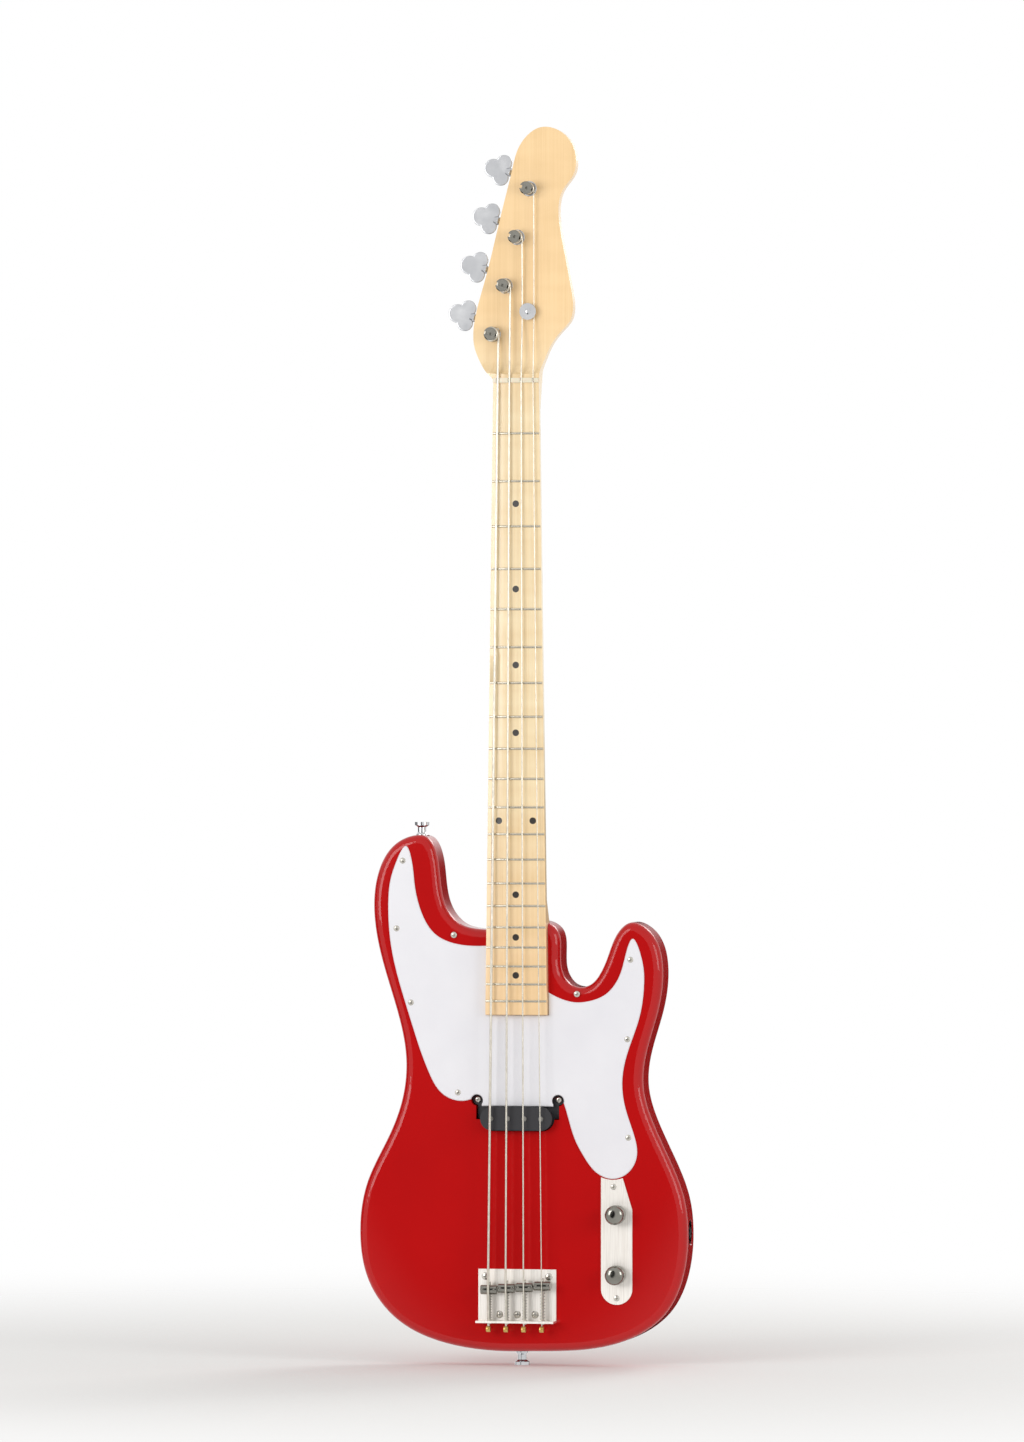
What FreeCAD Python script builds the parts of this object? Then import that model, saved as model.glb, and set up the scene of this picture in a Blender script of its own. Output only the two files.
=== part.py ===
import FreeCAD, Part
import math
import os

# Electric bass guitar: slab body, bolt-on neck, one single-coil pickup, open-geared tuners.
# Millimetres. +X is the treble side, +Y the back, +Z runs from the end strap button to the headstock.
# The origin is the middle of the end strap button's rim, on the string centre line.

Vector = FreeCAD.Vector

# Body
BODY_THICKNESS = 44.5
BODY_END = 12.0
EDGE_RADIUS = 8.0
# Stations of the plan (x, height above the body's end), from the end button past the bass horn
BODY_OUTLINE = [
    (0, 0), (-73, 7.5), (-120, 30), (-147, 66), (-155.5, 112), (-148, 162), (-127, 206), (-113, 246),
    (-110.5, 282), (-118, 322), (-133, 372), (-141.5, 418), (-138, 457), (-125, 482), (-106, 493.5),
    (-90, 493), (-80.5, 477), (-76.5, 449), (-69, 422), (-56, 409), (-36, 404.5), (-4, 406.5),
    (26, 412), (37, 405), (41, 385), (43, 363), (53, 351), (68, 351), (80, 364), (88, 383),
    (96, 401), (109, 411.5), (123, 407), (135, 392), (140, 369), (135, 325), (123, 282), (121, 255),
    (131, 219), (149, 180), (161, 147), (164.5, 115), (160, 74), (143, 38), (112, 15), (60, 2),
]

# Neck, board and headstock
SCALE_LENGTH = 863.6
NECK_END = 335.0
FRET_COUNT = 20
BOARD_OVERHANG = 13.0
NUT_WIDTH = 44.5
HEEL_WIDTH = 60.0
HEEL_THICKNESS = 25.4
HEEL_LENGTH = 84.0
HEEL_BLEND = 26.0
POCKET_DEPTH = 16.0
POCKET_CLEARANCE = 0.2
NECK_DEPTH_NUT = 20.5
NECK_DEPTH_HEEL = 23.5
# Straight sides of the neck under the board, and the flat share of its width at the back
NECK_SIDE_NUT = 6.0
NECK_SIDE_HEEL = 7.0
NECK_FLAT = 0.12
HEEL_CORNER = 2.5
HEEL_FLAT = 0.92
CAMBER_RADIUS = 241.0
HEAD_THICKNESS = 14.0
HEAD_DROP = 7.0
HEAD_BLEND = 26.0
HEAD_ROOT = 3.0
ROOT_CORNER = 3.0
HEAD_STEP = 0.15
HEAD_EDGE_RADIUS = 2.5
COVE_RADIUS = 20.0
NUT_THICKNESS = 4.5
NUT_LIP = 3.5
# Headstock stations (x from the centre line, height above the nut): bass side up to the tuner edge
HEAD_BASS_SIDE = [(-28, 9), (-37, 22), (-42, 36)]
# From the end of the tuner edge over the round end and down the treble side
HEAD_TREBLE_SIDE = [
    (0, 222), (10, 237), (23, 244.5), (38, 242.5), (51, 232), (57, 216), (54.5, 198), (45, 185),
    (40.5, 170), (41, 152), (46, 124), (52, 92), (54.5, 73), (52, 60), (42, 48), (32, 34), (25.5, 19),
]

# Frets and position dots
FRET_WIDTH = 2.4
FRET_HEIGHT = 1.1
FRET_INSET = 0.5
TANG_WIDTH = 0.6
TANG_DEPTH = 1.8
DOT_RADIUS = 3.2
DOT_DEPTH = 1.5
DOT_SPREAD = 16.5
SIDE_DOT_RADIUS = 1.0
SIDE_DOT_DROP = 3.0
SIDE_DOT_SPREAD = 4.0
DOT_OVERRUN = 2.0
SINGLE_DOT_FRETS = (3, 5, 7, 9, 15, 17, 19)
DOUBLE_DOT_FRET = 12

# Truss rod
ROD_RADIUS = 2.4
ROD_DEPTH = 13.0
ROD_CHANNEL_WIDTH = 6.4
ROD_CLEARANCE = 0.05
ROD_NUT_RADIUS = 4.8
ROD_NUT_LENGTH = 11.0

# Strings: bass to treble, and their courses
STRING_NAMES = ("e", "a", "d", "g")
STRING_RADII = (1.33, 1.08, 0.83, 0.58)
SADDLE_OFFSETS = (4.0, 2.5, 1.5, 0.0)
BRIDGE_PITCH = 17.3
NUT_PITCH = 11.4
ACTION_SADDLE = 5.4
ACTION_NUT = 1.6
STRING_BEND = 12.0
WRAP_TURNS = 2.25
WRAP_GAP = 0.5
WRAP_LIFT = 0.7
CONTACT_GAP = 0.3
BALL_RADIUS = 2.9
BALL_LENGTH = 4.2

# Tuners, in a frame at the post: u out towards the key, v up the tuner edge, w to the back
FIRST_POST = 46.5
POST_PITCH = 46.4
TUNER_EDGE = 20.5
POST_RADIUS = 3.6
POST_CLEARANCE = 0.09
WAIST_RADIUS = 4.5
WAIST_LENGTH = 11.0
COLLAR_RADIUS = 6.2
COLLAR_HEIGHT = 2.0
POST_HEAD_HEIGHT = 3.5
FERRULE_RADIUS = 6.0
FERRULE_LENGTH = 8.0
FERRULE_RIM_RADIUS = 7.4
FERRULE_RIM_HEIGHT = 1.2
PLATE_THICKNESS = 1.6
GEAR_TEETH = 20
GEAR_MODULE = 0.8
GEAR_WIDTH = 4.0
GEAR_SEAT_RADIUS = 2.5
WORM_RADIUS = 3.2
WORM_LENGTH = 13.0
THREAD_WIDTH = 0.8
TOOTH_WIDTH = 0.8
FLANK_DEGREES = 18.0
LUG_THICKNESS = 2.6
LUG_RADIUS = 4.4
KEY_SHAFT_RADIUS = 2.5
KEY_START = 24.0
KEY_THICKNESS = 3.0

# Pickguard
GUARD_THICKNESS = 1.6
GUARD_NECK_GAP = 0.4
GUARD_BEVEL = 0.8
# Bass horn part (x, height above the body's end) from beside the neck down to the pickup
GUARD_BASS_SIDE = [
    (-26, 389), (-42, 388.5), (-60, 390.5), (-79.5, 399), (-93, 418.5), (-100.5, 447), (-103, 468),
    (-109, 484), (-118.5, 469), (-125, 447), (-126.3, 423), (-123.5, 388), (-106, 322.5), (-86, 266),
    (-73, 246.5), (-60, 240.5), (-46, 241.5),
]
# Tail and treble horn part from the pickup up to the neck
GUARD_TREBLE_SIDE = [
    (44, 241.5), (50, 222.5), (55.5, 205), (65, 187), (78, 171.5), (92.5, 166.5), (107, 172), (116, 188),
    (113.5, 208), (104.5, 236), (102, 262), (109, 293), (119, 322.5), (123, 351), (120, 380),
    (112, 396), (105, 380), (99, 360), (86, 343), (71, 336.5), (56.5, 335), (42, 338.5), (29, 345),
]
TONGUE_WIDTH = 69.5
TONGUE_GAP = 0.45
NOTCH_GAP = 0.8
NOTCH_DROP = 1.0
GUARD_SHOULDER = 241.5
GUARD_SCREWS = [
    (-112, 470), (-118, 405), (-104, 334), (-58, 248), (-62, 399), (108, 206), (107, 300), (110, 376),
    (58, 343),
]

# Small screws for guard, control plate, tuners and pickup
SMALL_HEAD_RADIUS = 2.9
SMALL_SHANK_RADIUS = 1.4
SMALL_LENGTH = 12.0
SCREW_CLEARANCE = 0.06

# Pickup
PICKUP_Z = 235.5
PICKUP_WIDTH = 70.0
PICKUP_DEPTH = 22.5
PICKUP_PROUD = 8.5
FLATWORK = 2.4
COIL_HEIGHT = 11.0
COIL_INSET = 1.6
POLE_RADIUS = 2.4
POLE_PROUD = 0.8
EAR_X = 39.5
EAR_RISE = 18.0
EAR_RADIUS = 5.0
EAR_ARM = 15.8
PICKUP_SCREW_GRIP = 14.0
PICKUP_CAVITY_DEPTH = 20.0
PICKUP_CAVITY_GAP = 1.0

# Control plate and electrics
CONTROL_X = 96.6
CONTROL_WIDTH = 30.3
CONTROL_THICKNESS = 1.5
CONTROL_GAP = 0.8
# Top edge of the plate under the guard's tail (x from the knobs' line, rise above the tail's gap)
CONTROL_CREST = (-4.1, 0.0)
CONTROL_CORNER = (5.9, 1.7)
CONTROL_LEFT_RISE = 2.4
CONTROL_UPPER_SCREW = (-3.1, -6.7)
CONTROL_LOWER_SCREW = 9.0
CONTROL_FOOT = 13.4
CONTROL_SHOULDER = 4.6
VOLUME_HEIGHT = 132.4
TONE_HEIGHT = 74.9
CONTROL_CAVITY_DEPTH = 34.0
CONTROL_CAVITY_END = 4.8
POT_CLEARANCE = 1.0
POT_RADIUS = 12.0
POT_HEIGHT = 9.0
PANEL_BUSHING_RADIUS = 4.7
POT_BUSHING_LENGTH = 7.0
PANEL_NUT_FLATS = 12.7
PANEL_NUT_HEIGHT = 2.4
PANEL_WASHER_RADIUS = 7.2
PANEL_WASHER_HEIGHT = 0.8
SHAFT_RADIUS = 3.0
SHAFT_CLEARANCE = 0.08
KNOB_RADIUS = 9.3
KNOB_HEIGHT = 16.5
KNOB_LIFT = 0.8
KNOB_WALL = 1.3
KNOB_RECESS = 6.0
KNOB_CAP = 2.5
CAPACITOR_RADIUS = 4.0
CAPACITOR_LENGTH = 15.0
WIRE_RADIUS = 0.9
WIRE_BEND = 5.0
WIRE_RUN_RADIUS = 4.0
WIRE_RUN_DEPTH = 13.0
LUG_SPREAD = 5.0
LUG_BACK = 1.6

# Output jack on the treble edge
JACK_Z = 127.0
JACK_RECESS = 0.8
JACK_CUP_RADIUS = 10.8
JACK_RIM_RADIUS = 12.4
JACK_CUP_DEPTH = 13.0
JACK_WALL = 1.2
JACK_BORE_RADIUS = 3.2
JACK_BUSHING_LENGTH = 7.0
JACK_BODY_RADIUS = 8.0
JACK_BODY_LENGTH = 20.0

# Bridge
BRIDGE_WIDTH = 75.8
BRIDGE_SETBACK = 35.6
BRIDGE_LENGTH = 51.0
BRIDGE_THICKNESS = 2.0
BRIDGE_LIP = 17.0
SADDLE_RADIUS = 4.5
SADDLE_GAP = 1.3
SADDLE_GROOVE = 1.0
INTONATION_DROP = 1.2
INTONATION_RADIUS = 1.4
INTONATION_HEAD_RADIUS = 2.3
INTONATION_HEAD_HEIGHT = 2.0
HEIGHT_SCREW_RADIUS = 1.3
HEIGHT_SCREW_SPREAD = 5.6
SPRING_WIRE_RADIUS = 0.35
SPRING_COIL_RADIUS = 2.0
SPRING_TURNS = 10
SPRING_TAIL = 0.12
STRING_HOLE_RISE = 3.0
STRING_HOLE_CLEARANCE = 0.35
BRIDGE_SCREW_INSET = 7.0
BRIDGE_SCREW_MARGIN = 1.9
BRIDGE_SCREW_HEAD = 3.6
BRIDGE_SCREW_SHANK = 1.7
BRIDGE_SCREW_LENGTH = 22.0

# Neck plate
NECK_PLATE_WIDTH = 51.0
NECK_PLATE_LENGTH = 64.0
NECK_PLATE_THICKNESS = 2.0
NECK_PLATE_RISE = 36.0
NECK_BOLT_X = 19.0
NECK_BOLT_Z = 25.5
NECK_BOLT_RADIUS = 2.2
NECK_BOLT_HEAD = 4.6
NECK_BOLT_LENGTH = 44.0

# Strap buttons
BUTTON_RIM_RADIUS = 7.0
BUTTON_RIM_HEIGHT = 3.0
BUTTON_WAIST_RADIUS = 4.0
BUTTON_FOOT_RADIUS = 5.6
BUTTON_FOOT_HEIGHT = 1.6
BUTTON_SCREW_RADIUS = 2.0
BUTTON_SCREW_HEAD = 3.6
BUTTON_SCREW_LENGTH = 34.0
HORN_BUTTON_X = -98.0
HORN_SINK = 1.3

# String retainer on the headstock
TREE_RISE = 68.0
TREE_RADIUS = 8.0
TREE_THICKNESS = 1.6
TREE_STEM_RADIUS = 3.0
TREE_HEIGHT = 4.6

# Places that follow from the sizes above
FRONT = -BODY_THICKNESS / 2
BACK = BODY_THICKNESS / 2
SADDLE_Z = NECK_END + BOARD_OVERHANG - SCALE_LENGTH * 2 ** (-FRET_COUNT / 12)
NUT_Z = SADDLE_Z + SCALE_LENGTH
BRIDGE_REAR = SADDLE_Z - BRIDGE_SETBACK
BOARD_Y = FRONT + POCKET_DEPTH - HEEL_THICKNESS
HEAD_FACE = BOARD_Y + HEAD_DROP
HEAD_BACK = HEAD_FACE + HEAD_THICKNESS
NECK_TIP = NUT_Z + 400
BOARD_SPARE = 2.0


def fret_z(number):
    return NUT_Z - SCALE_LENGTH * (1 - 2 ** (-number / 12))


HEEL_TOP = NECK_END + HEEL_LENGTH
GEAR_RADIUS = GEAR_MODULE * GEAR_TEETH / 2
WORM_PITCH = math.pi * GEAR_MODULE
CENTRE_DISTANCE = GEAR_RADIUS + WORM_RADIUS
WORM_TIP = WORM_RADIUS + GEAR_MODULE
WORM_W = PLATE_THICKNESS + WORM_TIP + CONTACT_GAP
LUG_U = WORM_LENGTH / 2 + CONTACT_GAP
PLATE_REACH = LUG_U + LUG_THICKNESS + 3.5
COLLAR_TOP = FERRULE_RIM_HEIGHT + COLLAR_HEIGHT


def board_half_width(z):
    share = (z - NECK_END) / (NUT_Z - NECK_END)
    return (HEEL_WIDTH + (NUT_WIDTH - HEEL_WIDTH) * share) / 2


def camber(x):
    return CAMBER_RADIUS - math.sqrt(CAMBER_RADIUS ** 2 - x ** 2)


# Shape helpers

def points(stations, y=0.0, base=BODY_END):
    return [Vector(x, y, base + height) for x, height in stations]


def polyline(corners):
    return [Part.makeLine(a, b) for a, b in zip(corners, corners[1:])]


def spline(through, closed=False):
    curve = Part.BSplineCurve()
    curve.interpolate(Points=through, PeriodicFlag=closed)
    return curve.toShape()


def slab(edges, depth):
    return Part.Face(Part.Wire(edges)).extrude(Vector(0, depth, 0))


def box(x0, x1, y0, y1, z0, z1):
    return Part.makeBox(x1 - x0, y1 - y0, z1 - z0, Vector(x0, y0, z0))


def rod(start, end, radius):
    return Part.makeCylinder(radius, (end - start).Length, start, end - start)


def post(x, z, radius, y0, y1):
    return rod(Vector(x, y0, z), Vector(x, y1, z), radius)


def fused(shapes):
    return shapes[0].fuse(shapes[1:]).removeSplitter()


def placed(shape, base, axis):
    turn = FreeCAD.Rotation(Vector(0, 0, 1), axis)
    copy = shape.copy()
    copy.Placement = FreeCAD.Placement(base, turn).multiply(copy.Placement)
    return copy


def turned(profile, crown=0.0):
    # Solid of revolution about Z; a crown closes the last corner with a dome of that rise
    corners = [Vector(radius, 0, height) for radius, height in profile]
    edges = polyline(corners)
    last = corners[-1]
    if crown:
        ball = (last.x ** 2 + crown ** 2) / (2 * crown)
        half = math.asin(last.x / ball) / 2
        top = Vector(0, 0, last.z + crown)
        middle = Vector(ball * math.sin(half), 0, top.z - ball * (1 - math.cos(half)))
        edges.append(Part.Arc(last, middle, top).toShape())
        last = top
    edges.append(Part.makeLine(last, corners[0]))
    return Part.Face(Part.Wire(edges)).revolve(Vector(), Vector(0, 0, 1), 360)


def rounded(block, radius):
    # Both rims of an upright slab
    rims = [edge for edge in block.Edges if edge.BoundBox.YLength < 0.1 and edge.BoundBox.ZLength > 100]
    return block.makeFillet(radius, rims)


def bar_with_round_ends(x, half_width, low, high, y0, y1):
    ends = [post(x, low, half_width, y0, y1), post(x, high, half_width, y0, y1)]
    return fused([box(x - half_width, x + half_width, y0, y1, low, high)] + ends)


def arc_to(start, corner, end):
    # Arc from start to end whose end tangents meet at the corner
    middle = (start + end) / 2
    lean = (start - middle).Length / (start - corner).Length
    return Part.Arc(start, middle + (corner - middle) * (lean / (1 + lean)), end).toShape()


def biarc(start, start_way, end, end_way):
    # Two tangent arcs between two points with given directions
    gap = end - start
    both = start_way + end_way
    a = 2 * (start_way.dot(end_way) - 1)
    b = -2 * gap.dot(both)
    reach = (-b - math.sqrt(b * b - 4 * a * gap.dot(gap))) / (2 * a)
    first = start + start_way * reach
    second = end - end_way * reach
    middle = (first + second) / 2
    return [arc_to(start, first, middle), arc_to(middle, second, end)]


def tube(edges, radius, name):
    spine = Part.Wire(edges)
    first = edges[0]
    start = first.valueAt(first.FirstParameter)
    way = first.tangentAt(first.FirstParameter)
    ring = Part.Wire([Part.makeCircle(radius, start, way)])
    solid = spine.makePipeShell([ring], True, False)
    share = solid.Volume / (math.pi * radius ** 2 * spine.Length)
    print(name, "tube volume over section times length", round(share, 4), solid.isValid())
    return solid


def bent(corners, radius):
    # Straight runs between the corners, joined by tangent arcs
    edges = []
    start = corners[0]
    for before, corner, after in zip(corners, corners[1:], corners[2:]):
        back = (before - corner).normalize()
        on = (after - corner).normalize()
        turn = math.acos(max(-1.0, min(1.0, -back.dot(on))))
        reach = radius * math.tan(turn / 2)
        edges.append(Part.makeLine(start, corner + back * reach))
        edges.append(arc_to(corner + back * reach, corner, corner + on * reach))
        start = corner + on * reach
    return edges, start


def least_gap(spots, thickness):
    # Least distance between stretches of a wound tube that are more than a quarter turn apart
    best = None
    for i, spot in enumerate(spots):
        for other in spots[i + 12:]:
            apart = (spot - other).Length - thickness
            best = apart if best is None else min(best, apart)
    return best


# Screws: an oval head at height 0, the shank below it

def cross_recess(wide, thin, low, high):
    return fused([box(-wide, wide, -thin, thin, low, high), box(-thin, thin, -wide, wide, low, high)])


def screw(head, shank, length):
    sink = head - shank
    rise = head * 0.28
    solid = turned([(0, -length), (shank, -length), (shank, -sink), (head, 0)], rise)
    return solid.cut(cross_recess(head * 0.5, head * 0.12, -head * 0.35, rise + 1))


def screw_hole(head, shank, length):
    sink = head - shank
    c = SCREW_CLEARANCE
    rise = head * 0.28 + 1.0
    profile = [(0, -length - c), (shank + c, -length - c), (shank + c, -sink), (head + c, 0),
               (head + c, rise), (0, rise)]
    return turned(profile)


SMALL_SCREW = screw(SMALL_HEAD_RADIUS, SMALL_SHANK_RADIUS, SMALL_LENGTH)
SMALL_HOLE = screw_hole(SMALL_HEAD_RADIUS, SMALL_SHANK_RADIUS, SMALL_LENGTH)
TO_FRONT = Vector(0, -1, 0)
TO_BACK = Vector(0, 1, 0)


def at_screws(shape, stations, y, way=TO_FRONT, base=BODY_END):
    return [placed(shape, spot, way) for spot in points(stations, y, base)]


# Neck

def neck_section(z, depth, shoulder, flat, inset=0.0):
    half = board_half_width(min(z, NUT_Z)) - inset
    top = BOARD_Y - BOARD_SPARE
    side = BOARD_Y + shoulder
    back = BOARD_Y + depth - inset
    corners = [Vector(-half, side, z), Vector(-half, top, z), Vector(half, top, z), Vector(half, side, z)]
    right = Part.BezierCurve()
    right.setPoles([corners[3], Vector(half, back, z), Vector(flat * half, back, z)])
    left = Part.BezierCurve()
    left.setPoles([Vector(-flat * half, back, z), Vector(-half, back, z), corners[0]])
    base = Part.makeLine(Vector(flat * half, back, z), Vector(-flat * half, back, z))
    return Part.Wire(polyline(corners) + [right.toShape(), base, left.toShape()])


def head_outline(y):
    # Up the bass side, along the straight tuner edge, over the round end, down to the nut and across
    half = NUT_WIDTH / 2
    edge = [tuner_frame(index).multVec(Vector(TUNER_EDGE, v, 0))
            for index, v in ((0, 4), (1, 0), (2, 0), (3, 0), (3, 12))]
    stations = [(-half, 0)] + HEAD_BASS_SIDE + [(spot.x, spot.z - NUT_Z) for spot in edge]
    spots = points(stations + HEAD_TREBLE_SIDE + [(half, 0)], y, NUT_Z)
    rim = Part.BSplineCurve()
    rim.interpolate(Points=spots, InitialTangent=Vector(0, 0, 1), FinalTangent=Vector(0, 0, -1))
    return [rim.toShape(), Part.makeLine(spots[-1], spots[0])]


def head_block():
    lip = NUT_Z + NUT_THICKNESS + NUT_LIP
    foot = Vector(-100, HEAD_FACE, lip + math.sqrt(COVE_RADIUS ** 2 - (COVE_RADIUS - HEAD_DROP) ** 2))
    brow = Vector(-100, BOARD_Y, lip)
    corner = foot - Vector(0, 0, COVE_RADIUS * math.tan(math.acos(1 - HEAD_DROP / COVE_RADIUS) / 2))
    above = BOARD_Y - 20
    loop = polyline([foot, Vector(-100, HEAD_FACE, NECK_TIP), Vector(-100, above, NECK_TIP),
                     Vector(-100, above, lip), brow])
    cove = Part.Face(Part.Wire(loop + [arc_to(brow, corner, foot)])).extrude(Vector(200, 0, 0))
    high = BOARD_Y - 2 * BOARD_SPARE
    ramp = slab(head_outline(high), HEAD_FACE + HEAD_EDGE_RADIUS - high).cut(cove)
    head = rounded(slab(head_outline(HEAD_FACE), HEAD_THICKNESS), HEAD_EDGE_RADIUS)
    return head.fuse(ramp)


def raw_neck():
    deep = HEAD_BACK - BOARD_Y
    heel = [neck_section(z, HEEL_THICKNESS, HEEL_THICKNESS - HEEL_CORNER, HEEL_FLAT)
            for z in (NECK_END, HEEL_TOP)]
    low = neck_section(HEEL_TOP + HEEL_BLEND, NECK_DEPTH_HEEL, NECK_SIDE_HEEL, NECK_FLAT)
    high = neck_section(NUT_Z - HEAD_BLEND, NECK_DEPTH_NUT, NECK_SIDE_NUT, NECK_FLAT)
    root = [neck_section(z, deep, deep - ROOT_CORNER, 1 - 2 * ROOT_CORNER / NUT_WIDTH, HEAD_STEP)
            for z in (NUT_Z, NUT_Z + HEAD_ROOT)]
    runs = (heel, [heel[1], low], [low, high], [high, root[0]], root)
    lofts = [Part.makeLoft(pair, True, True) for pair in runs]
    neck = lofts[0].fuse(lofts[1:] + [head_block()])
    axis = Vector(0, BOARD_Y + CAMBER_RADIUS, 0)
    round_board = rod(axis + Vector(0, 0, NECK_END - 10), axis + Vector(0, 0, NECK_TIP), CAMBER_RADIUS)
    return neck.common(round_board)


def fret(number):
    z = fret_z(number)
    half = FRET_WIDTH / 2
    tang = TANG_WIDTH / 2
    foot = BOARD_Y
    deep = BOARD_Y + TANG_DEPTH
    crown = Part.Arc(Vector(0, foot, z - half), Vector(0, foot - FRET_HEIGHT, z), Vector(0, foot, z + half))
    under = polyline([Vector(0, foot, z + half), Vector(0, foot, z + tang), Vector(0, deep, z + tang),
                      Vector(0, deep, z - tang), Vector(0, foot, z - tang), Vector(0, foot, z - half)])
    return swept_over_board([crown.toShape()] + under, board_half_width(z) - FRET_INSET)


def swept_over_board(edges, half_length):
    axis = Vector(0, BOARD_Y + CAMBER_RADIUS, 0)
    angle = math.degrees(math.asin(half_length / CAMBER_RADIUS))
    face = Part.Face(Part.Wire(edges))
    face.rotate(axis, Vector(0, 0, 1), -angle)
    return face.revolve(axis, Vector(0, 0, 1), 2 * angle)


def fret_slot(number):
    z = fret_z(number)
    tang = TANG_WIDTH / 2
    deep = BOARD_Y + TANG_DEPTH
    high = BOARD_Y - 0.5
    edges = polyline([Vector(0, high, z + tang), Vector(0, deep, z + tang), Vector(0, deep, z - tang),
                      Vector(0, high, z - tang), Vector(0, high, z + tang)])
    return swept_over_board(edges, board_half_width(z) - FRET_INSET)


def dot_plugs():
    plugs = []
    for number in SINGLE_DOT_FRETS + (DOUBLE_DOT_FRET,):
        z = (fret_z(number) + fret_z(number - 1)) / 2
        for way in (-1, 1) if number == DOUBLE_DOT_FRET else (0,):
            x = way * DOT_SPREAD
            deep = BOARD_Y + camber(x) + DOT_DEPTH
            plugs.append(post(x, z, DOT_RADIUS, BOARD_Y - DOT_OVERRUN, deep))
            side_z = z + way * SIDE_DOT_SPREAD
            side = Vector(-board_half_width(z) - DOT_OVERRUN, BOARD_Y + SIDE_DOT_DROP, side_z)
            plugs.append(rod(side, side + Vector(DOT_OVERRUN + DOT_DEPTH, 0, 0), SIDE_DOT_RADIUS))
    return plugs


def rod_channel(floor):
    # Open at the back of the neck and cut down to the given height
    low = NECK_END + ROD_NUT_LENGTH + 4
    half = ROD_CHANNEL_WIDTH / 2
    return box(-half, half, floor, BOARD_Y + HEEL_THICKNESS + 5, low, NUT_Z - HEAD_BLEND)


def rod_bore():
    y = BOARD_Y + ROD_DEPTH
    end = NECK_END + ROD_NUT_LENGTH
    seat = rod(Vector(0, y, NECK_END - 1), Vector(0, y, end + 0.5), ROD_NUT_RADIUS + 0.3)
    bore = rod(Vector(0, y, NECK_END), Vector(0, y, end + 6), ROD_RADIUS + ROD_CLEARANCE)
    return [seat, bore]


def truss_rod():
    y = BOARD_Y + ROD_DEPTH
    low = NECK_END + ROD_NUT_LENGTH
    bar = rod(Vector(0, y, low), Vector(0, y, NUT_Z - HEAD_BLEND), ROD_RADIUS)
    nut = rod(Vector(0, y, NECK_END + 0.5), Vector(0, y, low), ROD_NUT_RADIUS)
    slots = placed(cross_recess(ROD_NUT_RADIUS + 1, 0.7, 0, 3.0), Vector(0, y, NECK_END), Vector(0, 0, 1))
    return [bar, nut.cut(slots)]


# Tuners

def post_place(index):
    nut_x = (index - 1.5) * NUT_PITCH
    reach = WAIST_RADIUS + CONTACT_GAP + STRING_RADII[index]
    return Vector(nut_x - reach, HEAD_BACK, NUT_Z + FIRST_POST + index * POST_PITCH)


def tuner_frame(index):
    up = (post_place(3) - post_place(0)).normalize()
    out = Vector(-up.z, 0, up.x)
    origin = post_place(index)
    matrix = FreeCAD.Matrix(out.x, up.x, 0, origin.x, out.y, up.y, 1, origin.y, out.z, up.z, 0, origin.z)
    return FreeCAD.Placement(matrix)


def on_tuner(shape, index):
    copy = shape.copy()
    copy.Placement = tuner_frame(index).multiply(copy.Placement)
    return copy


def four_tuners(shapes):
    return [on_tuner(shape, index) for index in range(4) for shape in shapes]


TUNER_SCREWS = [(-PLATE_REACH + 3.6, -8.0), (PLATE_REACH - 3.6, -8.0),
                (-PLATE_REACH + 3.6, CENTRE_DISTANCE + 8.4), (PLATE_REACH - 3.6, CENTRE_DISTANCE + 8.4)]


def tuner_plate():
    low = -11.6
    high = CENTRE_DISTANCE + 12.0
    base = box(-PLATE_REACH, PLATE_REACH, low, high, 0, PLATE_THICKNESS)
    upright = [edge for edge in base.Edges if abs(edge.tangentAt(edge.FirstParameter).z) > 0.9]
    base = base.makeFillet(3.5, upright)
    pieces = [base]
    for inner in (LUG_U, -LUG_U - LUG_THICKNESS):
        ends = inner + LUG_THICKNESS
        pieces.append(box(inner, ends, CENTRE_DISTANCE - LUG_RADIUS, CENTRE_DISTANCE + LUG_RADIUS, 0, WORM_W))
        pieces.append(rod(Vector(inner, CENTRE_DISTANCE, WORM_W), Vector(ends, CENTRE_DISTANCE, WORM_W),
                          LUG_RADIUS))
    plate = fused(pieces)
    shaft = rod(Vector(-40, CENTRE_DISTANCE, WORM_W), Vector(40, CENTRE_DISTANCE, WORM_W),
                KEY_SHAFT_RADIUS + POST_CLEARANCE)
    hole = rod(Vector(0, 0, -1), Vector(0, 0, PLATE_THICKNESS + 1), POST_RADIUS + CONTACT_GAP)
    screws = [placed(SMALL_HOLE, Vector(u, v, PLATE_THICKNESS), Vector(0, 0, 1)) for u, v in TUNER_SCREWS]
    return plate.cut([shaft, hole] + screws)


def tuner_screws():
    return [placed(SMALL_SCREW, Vector(u, v, PLATE_THICKNESS), Vector(0, 0, 1)) for u, v in TUNER_SCREWS]


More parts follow.
